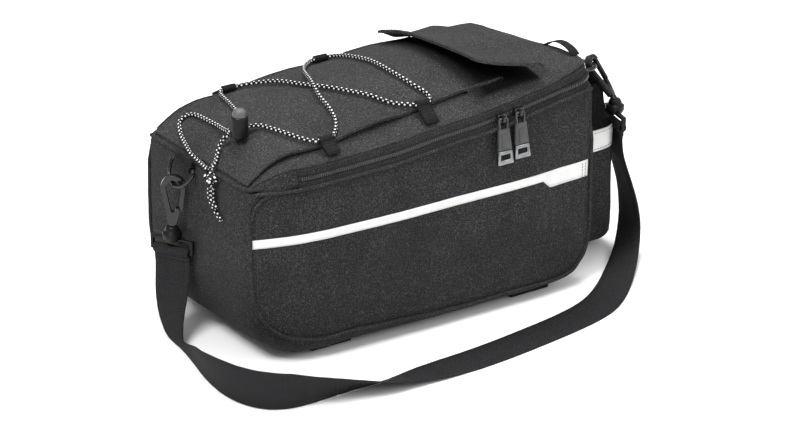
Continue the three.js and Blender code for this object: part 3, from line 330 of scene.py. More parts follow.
@dataclass(frozen=True)
class Moulded(Finish):
    """Plastic or metal with a fine grain and an uneven tone."""

    colour: Colour
    roughness: float
    metallic: float = 0.0
    coat: float = 0.0
    grain: float = 0.12
    specular: float = 0.5

    def draw(self, bench: NodeBench) -> None:
        """Draws the tone between a darker and a lighter one, and the grain."""
        place = bench.coordinates()
        low = tuple(c * 0.8 for c in self.colour)
        high = tuple(min(c * 1.3 + 0.004, 1) for c in self.colour)
        tone = bench.ramp(bench.noise(place, 130, 4), (0.3, low), (0.7, high))
        bench.relief(bench.noise(place, 2200, 2), self.grain, 0.0002)
        bench.surface(tone, self.roughness, self.metallic, self.specular, self.coat)


@dataclass(frozen=True)
class BeadedTape(Finish):
    """Reflective tape: pale grey with a fine bead pattern."""

    name: str = "reflective_tape"
    colour: Colour = grey(0.62, 0.61)

    def draw(self, bench: NodeBench) -> None:
        """Draws fine round beads over a slightly uneven tone."""
        low = tuple(c * 0.9 for c in self.colour)
        tone = bench.ramp(bench.noise(bench.coordinates(), 60, 3), (0.3, low), (0.7, self.colour))
        bench.relief(bench.cells(1300), 0.25, 0.0002)
        bench.surface(tone, 0.42, coat=0.15)


@dataclass(frozen=True)
class OpenMesh(Finish):
    """Dark knitted mesh with small round holes that show as pits."""

    name: str = "pocket_mesh"
    pit: Colour = grey(0.003)
    yarn: Colour = grey(0.004, 0.0045)
    edge: Colour = grey(0.008, 0.009)

    def draw(self, bench: NodeBench) -> None:
        """Draws the pits and the yarn round them from a cell pattern."""
        cells = bench.cells(420)
        bench.relief(cells, 0.7, 0.0006)
        colour = bench.ramp(cells, (0.2, self.pit), (0.5, self.yarn), (0.9, self.edge))
        bench.surface(colour, 0.85, specular=0.08)


class Finishes:
    """The finishes of the bag, each built once."""

    def __init__(self) -> None:
        """Builds every material."""
        side = (grey(0.0145, 0.015), grey(0.078, 0.0795), 0.57)
        self.heather = HeatherCloth("charcoal_heather", *side).material()
        lid = (grey(0.0195, 0.02), grey(0.088, 0.0895), 0.56)
        self.lid = HeatherCloth("lid_heather", *lid).material()
        # Lid cloth with painted shade: the black of the opening under the hand flap and the shade that the
        # flap casts, fading out at its edges as painted soft shadow.
        self.opening_shade = OpeningShadeCloth("opening_shade_cloth", *lid).material()
        tape = (grey(0.013, 0.0135), grey(0.06, 0.062), 0.56, 0.0005)
        self.tape = HeatherCloth("zip_tape_weave", *tape).material()
        strap = (grey(0.006, 0.0065), grey(0.028, 0.03))
        self.strap = RibbedWebbing("strap_webbing", *strap).material()
        tab = (grey(0.004, 0.0045), grey(0.02, 0.021), 0.0018, False)
        self.webbing = RibbedWebbing("tab_webbing", *tab).material()
        self.cord = BraidedCord().material()
        self.tape_light = BeadedTape().material()
        self.mesh = OpenMesh().material()
        self.thread = Moulded("sewing_thread", grey(0.04, 0.042), 0.8, specular=0.1).material()
        self.plastic = Moulded("black_plastic", grey(0.004, 0.0045), 0.34, specular=0.15).material()
        self.button = Moulded("grey_plastic", (0.075, 0.076, 0.08), 0.45, specular=0.3).material()
        self.gun_metal = Moulded("gun_metal", grey(0.005, 0.006), 0.2, grain=0.05, specular=0.4).material()
        self.grip = Moulded("pull_grip", (0.035, 0.0355, 0.037), 0.4, specular=0.4).material()
        self.bright = Moulded("pull_metal", (0.2, 0.205, 0.21), 0.3, 1.0, grain=0.06).material()
        self.teeth = Moulded("coil_teeth", grey(0.015, 0.016), 0.35, coat=0.3).material()


# Shapes


def smooth(value: float) -> float:
    """Gives the smooth step of a value held between 0 and 1."""
    t = min(max(value, 0.0), 1.0)
    return t * t * (3 - 2 * t)


@dataclass(frozen=True)
class Fade:
    """An amount that fades in along the axes, each over a span given by its start and its run.

    All are millimetres. A negative run fades in towards the axis's low end.
    """

    amount: float
    x: Span | None = None
    y: Span | None = None
    z: Span | None = None

    def at(self, place: Sequence[float]) -> float:
        """Gives the amount at a place in millimetres."""
        amount = self.amount
        for value, span in zip(place, (self.x, self.y, self.z)):
            if span is not None:
                amount *= smooth((value - span[0]) / span[1])
        return amount


@dataclass(frozen=True)
class BagPlan:
    """Plan and height lines of the bag, in millimetres, as in the CAD source."""

    low: float = -190.0
    tall: float = 190.0
    end: float = 197.0
    zip_start: float = -144.0
    main_width: float = 211.0
    low_width: float = 177.0
    tall_width: float = 195.0
    low_taper: float = 105.0
    tall_taper: float = 80.0
    low_height: float = 169.0
    tall_height: float = 198.0
    sag: float = 8.0
    band: float = 18.0
    band_tall: float = 13.5
    band_fade: float = 50.0
    lean: float = 5.0
    corner: float = 24.0

    def half_width(self, x: float) -> float:
        """Gives half the width over the long sides."""
        low = max(0.0, 1 - (x - self.low) / self.low_taper)
        tall = max(0.0, 1 - (self.tall - x) / self.tall_taper)
        return (
            self.main_width / 2
            - (self.main_width - self.low_width) / 2 * low**2
            - (self.main_width - self.tall_width) / 2 * tall**2
        )

    def piping(self, x: float) -> float:
        """Gives the height of the side piping."""
        t = min(max((x - self.low) / (self.tall - self.low), 0), 1)
        return self.low_height + (self.tall_height - self.low_height) * t - 4 * self.sag * t * (1 - t)

    def level(self, x: float, share: float) -> float:
        """Gives the height of a line up the zip band."""
        fade = smooth((x - self.tall + self.band_fade) / self.band_fade)
        return self.piping(x) + (self.band + (self.band_tall - self.band) * fade) * share

    def band_line(self, share: float, stand: float, step: float = 2.0) -> list[Vector]:
        """Gives a line round the zip band, from the near low end round the tall end.

        Args:
            share: height up the band, from 0 to 1.
            stand: how far the line stands out of the band.
            step: distance between its points.

        Returns:
            Points in metres.
        """
        inset = self.lean * share - stand
        turn, corner = self.end - self.corner, self.corner - inset
        near: list[tuple[float, float]] = []
        x = self.zip_start + 1
        while x < turn:
            near.append((x, -(self.half_width(x) - inset)))
            x += step
        half = self.half_width(turn) - self.corner
        for k in range(19):
            a = math.pi / 2 * k / 18
            near.append((turn + corner * math.sin(a), -(half + corner * math.cos(a))))
        y = -half + step
        while y < 0:
            near.append((turn + corner, y))
            y += step
        far = [(px, -py) for px, py in reversed(near)]
        return [Vector((px, py, self.level(px, share))) * MM for px, py in near + far]


@dataclass(frozen=True)
class Slack:
    """One shared field of slack, so that neighbouring cloth pieces shift together."""

    broad: float = 1.5
    broad_size: float = 0.075
    fine: float = 0.4
    fine_size: float = 0.021
    fine_offset: Point = (7, 3, 5)
    heights: tuple[Fade, ...] = (
        Fade(-6.0, x=(20, 120), y=(0, 95), z=(110, 80)),
        Fade(-4.0, x=(-70, -70), z=(70, -70)),
        Fade(9.5, x=(140, 45), y=(20, -80), z=(199, 14)),
    )
    corner: Fade = Fade(3.5, x=(150, 40), y=(60, 30), z=(-40, 120))
    foot: float = -0.1

    def at(self, place: Vector) -> Vector:
        """Gives the shift of a place, in metres: its noise, its rise or sag and its corner's fill."""
        shift = noise.noise_vector(place / self.broad_size) * self.broad
        shift += noise.noise_vector(place / self.fine_size + Vector(self.fine_offset)) * self.fine
        x, y, z = place / MM
        shift.z += sum(fade.at((x, y, z)) for fade in self.heights)
        filled = self.corner.at((x, abs(y), z))
        shift.x += filled
        shift.y += math.copysign(filled, y)
        if z < self.foot:
            shift.z = 0
        return shift * MM


SLACK = Slack()
PLAN = BagPlan()


def new_piece(name: str, bm: bmesh.types.BMesh, sharp: float = 45.0) -> Piece:
    """Makes an object of a bmesh, which is freed. Edges over the angle in degrees stay sharp."""
    mesh = bpy.data.meshes.new(name)
    bm.to_mesh(mesh)
    bm.free()
    shade(mesh, sharp)
    piece = bpy.data.objects.new(name, mesh)
    bpy.context.scene.collection.objects.link(piece)
    return piece


def shade(mesh: bpy.types.Mesh, sharp: float) -> None:
    """Shades a mesh smooth but for its edges over an angle in degrees."""
    mesh.shade_smooth()
    mesh.set_sharp_from_angle(angle=math.radians(sharp))


def apply_modifiers(piece: Piece) -> None:
    """Bakes a piece's modifiers into its mesh."""
    bpy.context.view_layer.update()
    graph = bpy.context.evaluated_depsgraph_get()
    baked = bpy.data.meshes.new_from_object(piece.evaluated_get(graph))
    piece.modifiers.clear()
    piece.data = baked


def reshape(piece: Piece, shift: Callable[[Vector], Sequence[float]]) -> None:
    """Moves each vertex by a shift worked out from its place, both in millimetres."""
    for vertex in piece.data.vertices:
        vertex.co += Vector(shift(vertex.co / MM)) * MM


def merged_copy(node: str) -> bmesh.types.BMesh:
    """Gives a bmesh of a CAD node with its shared corners joined."""
    bm = bmesh.new()
    bm.from_mesh(bpy.data.objects[node].data)
    bmesh.ops.remove_doubles(bm, verts=bm.verts, dist=1e-5)
    return bm


def dress(
    piece: Piece, finish: bpy.types.Material, slot: Slot, body: str = BAG, stands_for: Sequence[str] = ()
) -> Piece:
    """Gives a piece its finish and body, and hides the CAD nodes that it stands for."""
    piece.data.materials.clear()
    piece.data.materials.append(finish)
    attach(piece, body)
    if stands_for:
        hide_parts(*stands_for)
    LOG.info("%s: %d faces", piece.name, len(piece.data.polygons))
    return piece


def soft_piece(
    node: str, name: str, finish: bpy.types.Material, slot: Slot, *, levels: int = 2, crease: float = 40.0,
    slack: bool = True, swell: float = 0.0, shape: Callable[[Piece], None] | None = None,
) -> Piece:
    """Makes a cloth piece from a CAD node: subdivided with creased edges, slackened and dressed.

    Args:
        node: the CAD node.
        name: the piece's name.
        finish: its material.
        slot: its slot, which is not used.
        levels: levels of subdivision, of which the first keeps the shape.
        crease: edges over this angle in degrees keep most of their sharpness.
        slack: whether the shared slack applies.
        swell: how far the surface moves out, in millimetres.
        shape: what else is done to the piece's shape.

    Returns:
        The piece.
    """
    bm = merged_copy(node)
    flat, square = math.radians(14), math.radians(60)
    bmesh.ops.join_triangles(bm, faces=bm.faces, angle_face_threshold=flat, angle_shape_threshold=square)
    layer = bm.edges.layers.float.get("crease_edge") or bm.edges.layers.float.new("crease_edge")
    for edge in bm.edges:
        if len(edge.link_faces) == 2 and edge.calc_face_angle(0.0) > math.radians(crease):
            edge[layer] = 0.82
    piece = new_piece(name, bm)
    for kind, depth in (("SIMPLE", 1), ("CATMULL_CLARK", max(levels - 1, 1))):
        subdivision = piece.modifiers.new("subdivision", "SUBSURF")
        subdivision.subdivision_type = kind
        subdivision.levels = subdivision.render_levels = depth
    apply_modifiers(piece)
    vertices = piece.data.vertices
    for vertex, normal in zip(vertices, [v.normal.copy() for v in vertices]):
        shift = normal * swell * MM
        if slack:
            shift += SLACK.at(vertex.co)
        vertex.co += shift
    shade(piece.data, 48)
    if shape:
        shape(piece)
    return dress(piece, finish, slot, stands_for=[node])


def hard_piece(
    node: str, name: str, finish: bpy.types.Material, slot: Slot, edge: float, *, body: str = BAG,
    angle: float = 32.0,
) -> Piece:
    """Makes a rounded and dressed copy of a rigid CAD node.

    Args:
        node: the CAD node.
        name: the piece's name.
        finish: its material.
        slot: its slot, which is not used.
        edge: radius of its rounded edges, in millimetres.
        body: the body that it rides on.
        angle: edges over this angle in degrees are rounded.

    Returns:
        The piece.
    """
    bm = merged_copy(node)
    bmesh.ops.dissolve_limit(bm, angle_limit=math.radians(1.5), verts=bm.verts, edges=bm.edges)
    piece = new_piece(name, bm)
    bevel = piece.modifiers.new("rounding", "BEVEL")
    bevel.width, bevel.segments = edge * MM, 3
    bevel.limit_method, bevel.angle_limit = "ANGLE", math.radians(angle)
    apply_modifiers(piece)
    shade(piece.data, 34)
    return dress(piece, finish, slot, body, [node])


def round_edges(bm: bmesh.types.BMesh, offset: float, segments: int) -> None:
    """Rounds every edge of a bmesh by an offset in millimetres."""
    bmesh.ops.bevel(
        bm, geom=bm.edges[:], offset=offset * MM, segments=segments, profile=0.5, affect="EDGES", material=-1
    )


def spline(points: Sequence[Sequence[float]], step: float = 1.5) -> list[Vector]:
    """Runs a centripetal curve through points in millimetres, and gives places in metres.

    The step, in millimetres, is about the distance between the curve's places.
    """
    route = [Vector(p) for p in points]
    route = [route[0] * 2 - route[1], *route, route[-1] * 2 - route[-2]]
    line: list[Vector] = []
    for a, b, c, d in zip(route, route[1:], route[2:], route[3:]):
        t0 = 0.0
        t1 = t0 + math.sqrt((b - a).length)
        t2 = t1 + math.sqrt((c - b).length)
        t3 = t2 + math.sqrt((d - c).length)
        count = max(1, round((c - b).length / step))
        for k in range(count):
            t = t1 + (t2 - t1) * k / count
            ab = a.lerp(b, (t - t0) / (t1 - t0))
            bc = b.lerp(c, (t - t1) / (t2 - t1))
            cd = c.lerp(d, (t - t2) / (t3 - t2))
            before = ab.lerp(bc, (t - t0) / (t2 - t0))
            after = bc.lerp(cd, (t - t1) / (t3 - t1))
            line.append(before.lerp(after, (t - t1) / (t2 - t1)))
    line.append(route[-2])
    return [p * MM for p in line]


def lengths_along(line: Sequence[Vector]) -> list[float]:
    """Gives the length up to each place of a line."""
    return list(accumulate(((b - a).length for a, b in zip(line, line[1:])), initial=0.0))


def tube(name: str, line: Sequence[Vector], radius: float, sides: int = 12, closed: bool = False) -> Piece:
    """Makes a round cord along a line, with its length in metres on V and its turn on U.

    Args:
        name: the piece's name.
        line: the cord's centre line.
        radius: its radius, in millimetres.
        sides: faces round it.
        closed: whether the line is a ring.

    Returns:
        The piece.
    """
    rows = len(line) - 1
    tangents = [(line[min(i + 1, rows)] - line[max(i - 1, 0)]).normalized() for i in range(rows + 1)]
    if closed:
        tangents[0] = tangents[-1] = (line[1] - line[-2]).normalized()
    side = tangents[0].orthogonal().normalized()
    frames = []
    for tangent in tangents:
        side = (side - tangent * side.dot(tangent)).normalized()
        frames.append((side, tangent.cross(side)))
    lengths = lengths_along(line)
    bm = bmesh.new()
    uv = bm.loops.layers.uv.new("UVMap")
    bmesh.ops.create_grid(bm, x_segments=sides, y_segments=rows, size=0.5, calc_uvs=True)
    for face in bm.faces:
        for loop in face.loops:
            loop[uv].uv = (loop.vert.co.x + 0.5, lengths[round((loop.vert.co.y + 0.5) * rows)])
    for vert in bm.verts:
        turn, row = (vert.co.x + 0.5) * 2 * math.pi, round((vert.co.y + 0.5) * rows)
        u, v = frames[row]
        vert.co = line[row] + (u * math.cos(turn) + v * math.sin(turn)) * radius * MM
    bmesh.ops.remove_doubles(bm, verts=bm.verts, dist=radius * MM * 0.02)
    edges = [edge for edge in bm.edges if edge.is_boundary]
    if edges:
        bmesh.ops.holes_fill(bm, edges=edges, sides=0)
    bmesh.ops.recalc_face_normals(bm, faces=bm.faces)
    return new_piece(name, bm, 60)


def surface_of(piece: Piece) -> BVHTree:
    """Gives a tree of a piece's surface, for laying things on it."""
    mesh = piece.data
    return BVHTree.FromPolygons([v.co for v in mesh.vertices], [p.vertices for p in mesh.polygons])


def laid(tree: BVHTree, place: Sequence[float], towards: Point, lift: float) -> Vector | None:
    """Moves a place along a direction onto a surface.

    Args:
        tree: the surface.
        place: where the ray starts, in millimetres.
        towards: its direction.
        lift: how far the place ends above the surface, in millimetres.

    Returns:
        The place on the surface in metres, or None where the ray misses.
    """
    way = Vector(towards)
    hit, normal, _, _ = tree.ray_cast(Vector(place) * MM, way)
    if hit is None:
        return None
    return hit + (normal if normal.dot(way) < 0 else -normal) * lift * MM


def on_side(tree: BVHTree, x: float, z: float, face: int, lift: float) -> Vector | None:
    """Gives the place of a long side at an x and a height. The near side's face is -1."""
    return laid(tree, (x, face * 160, z), (0, -face, 0), lift)


def on_top(tree: BVHTree, x: float, y: float, lift: float) -> Vector | None:
    """Gives the place of a surface seen from above."""
    return laid(tree, (x, y, 400), (0, 0, -1), lift)


def edge_place(tree: BVHTree, x: float, face: int, inset: float) -> Vector | None:
    """Gives a place just inside the long edge of a piece seen from above."""
    for k in range(220):
        y = face * (112 - k * 0.5)
        if on_top(tree, x, y, 0) is not None:
            return on_top(tree, x, y - face * inset, 0.2)
    return None


@dataclass
class Sewing:
    """Rows of stitches in one piece, each a short bar of thread. Its sizes are millimetres."""

    name: str
    length: float = 2.6
    gap: float = 1.5
    thread: float = 0.28
    longest_run: float = 30.0
    bm: bmesh.types.BMesh = field(default_factory=bmesh.new)

    def row(self, line: Iterable[Vector | None]) -> None:
        """Sews along a line, leaving out the places that are None."""
        points = [p for p in line if p is not None]
        pitch = (self.length + self.gap) * MM
        left = 0.0
        for a, b in zip(points, points[1:]):
            run = (b - a).length
            if run < 1e-7 or run > self.longest_run * MM:
                continue
            way = (b - a) / run
            while left < run:
                self._stitch(a + way * left, way)
                left += pitch
            left -= run

    def _stitch(self, place: Vector, way: Vector) -> None:
        """Adds one stitch."""
        turn = way.to_track_quat("Z", "Y").to_matrix().to_4x4()
        radius = self.thread * MM
        bmesh.ops.create_cone(
            self.bm, cap_ends=True, segments=5, radius1=radius, radius2=radius, depth=self.length * MM,
            matrix=Matrix.Translation(place) @ turn,
        )

    def finished(self, finish: bpy.types.Material, slot: Slot) -> Piece:
        """Gives the dressed piece."""
        return dress(new_piece(self.name, self.bm, 70), finish, slot)


# Sub-assemblies


@dataclass
class BagBody:
    """Padded body with its piping, seam welts, side stripes and carrier bands."""

    finishes: Finishes
    stitch_lines: tuple[float, ...] = (-184.5, 186.0)
    tab_lines: tuple[float, ...] = (181.5, 185.5)
    snug: Fade = Fade(1.3, x=(172, 14))
    snug_top: Fade = Fade(1.8, x=(172, 14), z=(142, 22))
    stripe_run: Span = (-189.0, 189.0)
    stripe_top: float = 124.0
    stripe: float = 8.5
    stripe_wall: float = 0.6
    tab: float = 17.0
    tab_start: float = 131.0
    tab_slant: float = 9.0
    corner_start: float = -167.0
    corner_run: float = 21.5
    corner_drop: Span = (1.0, 25.0)
    piping: float = 1.8
    roll: float = 2.4
    roll_corner: tuple[Point, ...] = (
        (-176, -1.5, 172.6), (-183.5, 1.2, 172.3), (-187.5, 4, 171.9), (-190.2, 9, 171)
    )
    roll_middle: tuple[Point, ...] = tuple((-190.8, y, 170.2) for y in (-60, -20, 20, 60))
    tree: BVHTree = field(init=False)

    def build(self) -> None:
        """Builds the body and what is sewn to it."""
        f = self.finishes
        cloth = (f.heather, Slot.HEATHER)
        shell = soft_piece("body_shell", "padded_body", *cloth)
        self.tree = surface_of(shell)
        for side, face in SIDES.items():
            piping = {"crease": 70, "swell": 0.3}
            soft_piece(f"side_piping_{side}", f"top_piping_{side}", *cloth, **piping)
            soft_piece(f"panel_welt_{side}", f"seam_welt_{side}", *cloth, **piping, shape=self._draw_in)
            self._corner_piping(side, face)
            self._stripe(side, face)
            soft_piece(f"band_hinge_{side}", f"hinge_panel_{side}", *cloth, crease=50, swell=0.1)
        for end in ENDS:
            hard_piece(f"rack_strap_{end}", f"carrier_band_{end}", f.webbing, Slot.WEBBING, 1.6)
        self._end_roll()
        self._sew()

    def _stripe(self, side: str, face: int) -> None:
        """Lays the reflective stripe on a long side, with the step where it widens into its bare tab."""
        start, stop = self.stripe_run
        bm = bmesh.new()
        bmesh.ops.create_grid(bm, x_segments=190, y_segments=4, size=0.5)
        for vert in bm.verts:
            x = start + (stop - start) * (vert.co.x + 0.5)
            wide = min(max((x - self.tab_start) / self.tab_slant, 0), 1)
            z = self.stripe_top - (self.stripe + (self.tab - self.stripe) * wide) * (0.5 - vert.co.y)
            vert.co = on_side(self.tree, x, z, face, 0.35) or Vector((x, 0, z)) * MM
        bmesh.ops.recalc_face_normals(bm, faces=bm.faces)
        piece = new_piece(f"stripe_{side}", bm)
        wall = piece.modifiers.new("wall", "SOLIDIFY")
        wall.thickness, wall.offset = self.stripe_wall * MM, 0
        apply_modifiers(piece)
        dress(piece, self.finishes.tape_light, Slot.REFLECTIVE, stands_for=[f"side_stripe_{side}"])

    def _draw_in(self, welt: Piece) -> None:
        """Draws the upright runs of a welt in, half into the cloth that they are sewn to."""

        def shift(place: Vector) -> Point:
            x, y, z = place
            draw = sum(fade.at((abs(x), y, z)) for fade in (self.snug, self.snug_top))
            return (-math.copysign(draw, x), -math.copysign(draw, y), 0)

        reshape(welt, shift)

    def _corner_piping(self, side: str, face: int) -> None:
        """Rounds the side panel's upper low corner with a curve of piping."""
        line = []
        start, drop = self.corner_drop
        for k in range(13):
            a = math.pi / 2 * k / 12
            x = self.corner_start - self.corner_run * math.sin(a)
            z = PLAN.piping(x) - start - drop * (1 - math.cos(a))
            line.append(on_side(self.tree, x, z, face, 0.9))
        line = [place for place in line if place is not None]
        dress(tube(f"corner_piping_{side}", line, self.piping, 10), self.finishes.heather, Slot.HEATHER)

    def _end_roll(self) -> None:
        """Adds the rolled seam along the top of the low end, from the near corner to the far one."""
        half = PLAN.half_width(PLAN.low)
        near = [(x, y - half, z) for x, y, z in self.roll_corner]
        far = [(x, -y, z) for x, y, z in reversed(near)]
        line = [p + SLACK.at(p) for p in spline([*near, *self.roll_middle, *far], 3)]
        dress(tube("end_roll", line, self.roll, 10), self.finishes.heather, Slot.HEATHER)

    def _sew(self) -> None:
        """Sews the long sides beside their end seams, below their piping and at the stripe's end."""
        sides, tab = Sewing("side_stitches"), Sewing("tab_stitches", 1.8, 1.4, 0.3)
        for face in SIDES.values():
            for x in self.stitch_lines:
                heights = [z for z in range(40, int(PLAN.piping(x)) - 4, 2) if not 104 < z < 126]
                sides.row(on_side(self.tree, x, z, face, 0.2) for z in heights)
            sides.row(on_side(self.tree, x, PLAN.piping(x) - 4.5, face, 0.2) for x in range(-182, 184, 3))
            for x in self.tab_lines:
                tab.row(on_side(self.tree, x, z, face, 0.8) for z in range(108, 124, 2))
        sides.finished(self.finishes.thread, Slot.HEATHER)
        tab.finished(self.finishes.plastic, Slot.REFLECTIVE)


@dataclass
class Lid:
    """Crowned lid with its zip band, lacing panel, hand flap and grab loop."""

    finishes: Finishes
    tooth_pitch: float = 2.1
    tooth: Point = (1.1, 0.9, 3.4)
    curls: tuple[Point, ...] = ((-187, -112, 2.6), (-96, -10, 3.6), (6, 90, 1.6))
    curl_width: float = 20.0
    column: float = 8.0
    flap_free: tuple[Fade, ...] = (Fade(5.0, x=(98, -32)), Fade(3.5, x=(98, -32), y=(0, 90)))
    flap_arch: tuple[Fade, ...] = (Fade(12.5), Fade(-4.5, x=(120, -50)))
    arch_end: Fade = Fade(1.0, x=(144.5, -7))
    arch_share: Fade = Fade(1.0, y=(-40, -50))
    # Middle, run and width in millimetres of the dark patch under the flap, which stands for the opening and
    # the painted shade there.
    opening: tuple[float, float, float] = (101.0, 80.0, 182.0)
    loop_middle: Span = (-52.2, -54.7)
    loop_width: float = 0.82
    loop_rise: float = 0.62
    loop_drop: float = 1.5
    panel_run: tuple[int, int] = (-186, 104)
    flap_run: tuple[int, int] = (68, 141)
    rim_run: tuple[int, int] = (-140, 188)

    def build(self) -> None:
        """Builds the lid and what is on it."""
        f = self.finishes
        cover = (f.lid, Slot.LID)
        shell = soft_piece("lid_shell", "lid_cover", *cover)
        panel = soft_piece("lacing_panel", "lacing_cover", *cover, levels=3, shape=self._curl)
        flap = soft_piece("access_flap", "hand_flap", *cover, levels=3, shape=self._open_flap)
        self.shell, self.panel, self.flap = (surface_of(piece) for piece in (shell, panel, flap))
        self._lay_opening_shade()
        for node in ("zip_tape_lower", "zip_tape_upper", "zip_coil"):
            soft_piece(node, f"{node}_cloth", f.tape, Slot.BINDING, levels=1)
        soft_piece("grab_loop", "grab_handle", f.webbing, Slot.WEBBING, shape=self._fold_loop)
        self._teeth()
        self._bindings()
        self._sew()

    def _curl(self, panel: Piece) -> None:
        """Lifts the lacing panel's long edges between the webbing loops that hold them down."""
        edges: dict[int, float] = {}
        for vertex in panel.data.vertices:
            x, y, _ = vertex.co / MM
            column = round(x / self.column)
            edges[column] = max(edges.get(column, 0), abs(y))

        def shift(place: Vector) -> Point:
            x, y, _ = place
            shares = ((min(max((x - a) / (b - a), 0), 1), rise) for a, b, rise in self.curls)
            rise = max(math.sin(math.pi * share) * rise for share, rise in shares)
            inside = edges[round(x / self.column)] - abs(y)
            return (0, 0, rise * smooth(1 - inside / self.curl_width))

        reshape(panel, shift)

    def _open_flap(self, flap: Piece) -> None:
        """Lifts the hand flap's free edge and arches its near edge over the opening."""

        def shift(place: Vector) -> Point:
            free = sum(fade.at(place) for fade in self.flap_free)
            arch = sum(fade.at(place) for fade in self.flap_arch) * math.sqrt(self.arch_end.at(place))
            return (0, 0, free + (arch - free) * self.arch_share.at(place))

        reshape(flap, shift)

    def _fold_loop(self, loop: Piece) -> None:
        """Makes the grab loop narrower and lower, as the photograph shows it."""
        foot = min(v.co.z for v in loop.data.vertices) / MM
        middle, moved = self.loop_middle

        def shift(place: Vector) -> Point:
            _, y, z = place
            narrowed = (y - middle) * self.loop_width + moved
            return (0, narrowed - y, (foot - z) * (1 - self.loop_rise) - self.loop_drop)

        reshape(loop, shift)

    def _lay_opening_shade(self) -> None:
        """Lays a dark patch on the lid under the flap, which stands for the opening there and paints the
        shade under the flap.
        """
        middle, run, width = self.opening
        bm = bmesh.new()
        bmesh.ops.create_grid(bm, x_segments=36, y_segments=80, size=0.5)
        for vert in bm.verts:
            x, y = middle + vert.co.x * run, vert.co.y * width
            hits = (on_top(tree, x, y, 0.4) for tree in (self.shell, self.panel))
            vert.co = max((hit for hit in hits if hit is not None), key=lambda hit: hit.z)
        # The patch's cloth paints the shade under the flap, with painted soft shadow at its edges.
        dress(new_piece("flap_opening_shade", bm), self.finishes.opening_shade, Slot.LID)

    def _bindings(self) -> None:
        """Binds the long edges of the lacing panel, which stand up as a thin roll."""
        for side, face in SIDES.items():
            edge = (edge_place(self.panel, x, face, 0.6) for x in range(*self.panel_run, 4))
            line = [p for p in edge if p is not None]
            dress(tube(f"panel_binding_{side}", line, 1.0, 8), self.finishes.lid, Slot.LID)

    def _teeth(self) -> None:
        """Builds the zip's row of coil teeth."""
        line = PLAN.band_line(0.5, 1.1, self.tooth_pitch)
        size = Matrix.Diagonal((*(s * MM for s in self.tooth), 1))
        bm = bmesh.new()
        for before, place, after in zip(line, line[1:], line[2:]):
            way = (after - before).normalized()
            out = way.cross(Vector((0, 0, 1))).normalized()
            turn = Matrix((way, out, out.cross(way))).transposed().to_4x4()
            at = Matrix.Translation(place + SLACK.at(place))
            bmesh.ops.create_cube(bm, size=1.0, matrix=at @ turn @ size)
        round_edges(bm, 0.2, 1)
        dress(new_piece("zip_teeth", bm, 40), self.finishes.teeth, Slot.BINDING)

    def _sew(self) -> None:
        """Sews the panel, the flap, the lid's rim and the zip tapes."""
        sewing = Sewing("lid_stitches")
        seams = (
            (self.panel, self.panel_run, 3.5, (100.5,)), (self.flap, self.flap_run, 4, (69.5, 138)),
            (self.shell, self.rim_run, 3, ()),
        )
        for tree, run, inset, crossings in seams:
            for face in SIDES.values():
                sewing.row(edge_place(tree, x, face, inset) for x in range(*run, 2))
            for x in crossings:
                sewing.row(on_top(tree, x, y, 0.2) for y in range(-92, 93, 2))
        sewing.finished(self.finishes.thread, Slot.LID)
        tape = Sewing("tape_stitches", 2.2, 1.4, 0.24)
        for share in (0.07, 0.93):
            tape.row(p + SLACK.at(p) for p in PLAN.band_line(share, 0.25, 3))
        tape.finished(self.finishes.thread, Slot.BINDING)


@dataclass
class ZipPulls:
    """The two sliders with their pulls, which swing on their own bodies."""

    finishes: Finishes
    places: dict[str, float] = field(default_factory=lambda: {"left": 80.0, "right": 100.0})
    pad: Span = (7.2, 1.2)
    pad_ends: Span = (2.0, 16.0)
    pad_lean: float = -6.0

    def build(self) -> None:
        """Builds sliders, pulls, their raised pads and metal ends."""
        f = self.finishes
        for name, x in self.places.items():
            body = f"pull_{name}"
            hard_piece(f"zip_slider_{name}", f"slider_{name}", f.gun_metal, Slot.BRIGHT_METAL, 0.5)
            grip = hard_piece(f"zip_pull_{name}", f"pull_grip_{name}", f.grip, Slot.PLASTIC, 0.35, body=body)
            hard_piece(f"pull_tip_{name}", f"pull_end_{name}", f.bright, Slot.BRIGHT_METAL, 0.9, body=body)
            self._pad(name, x, surface_of(grip))

    def _pad(self, name: str, x: float, grip: BVHTree) -> None:
        """Adds the raised pad in the middle of a pull."""
        low, high = (corner.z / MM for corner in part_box(f"zip_pull_{name}"))
        foot, top = low + self.pad_ends[0], high - self.pad_ends[1]
        centre = (x, -200, (top + foot) / 2)
        hit = laid(grip, centre, (0, 1, 0), 0.1) or Vector(centre) * MM
        turn = Matrix.Rotation(math.radians(self.pad_lean), 4, "X")
        size = Matrix.Diagonal((*(s * MM for s in (*self.pad, top - foot)), 1))
        bm = bmesh.new()
        bmesh.ops.create_cube(bm, size=1.0, matrix=Matrix.Translation(hit) @ turn @ size)
        round_edges(bm, 0.4, 3)
        dress(new_piece(f"grip_pad_{name}", bm, 40), self.finishes.grip, Slot.PLASTIC, f"pull_{name}")


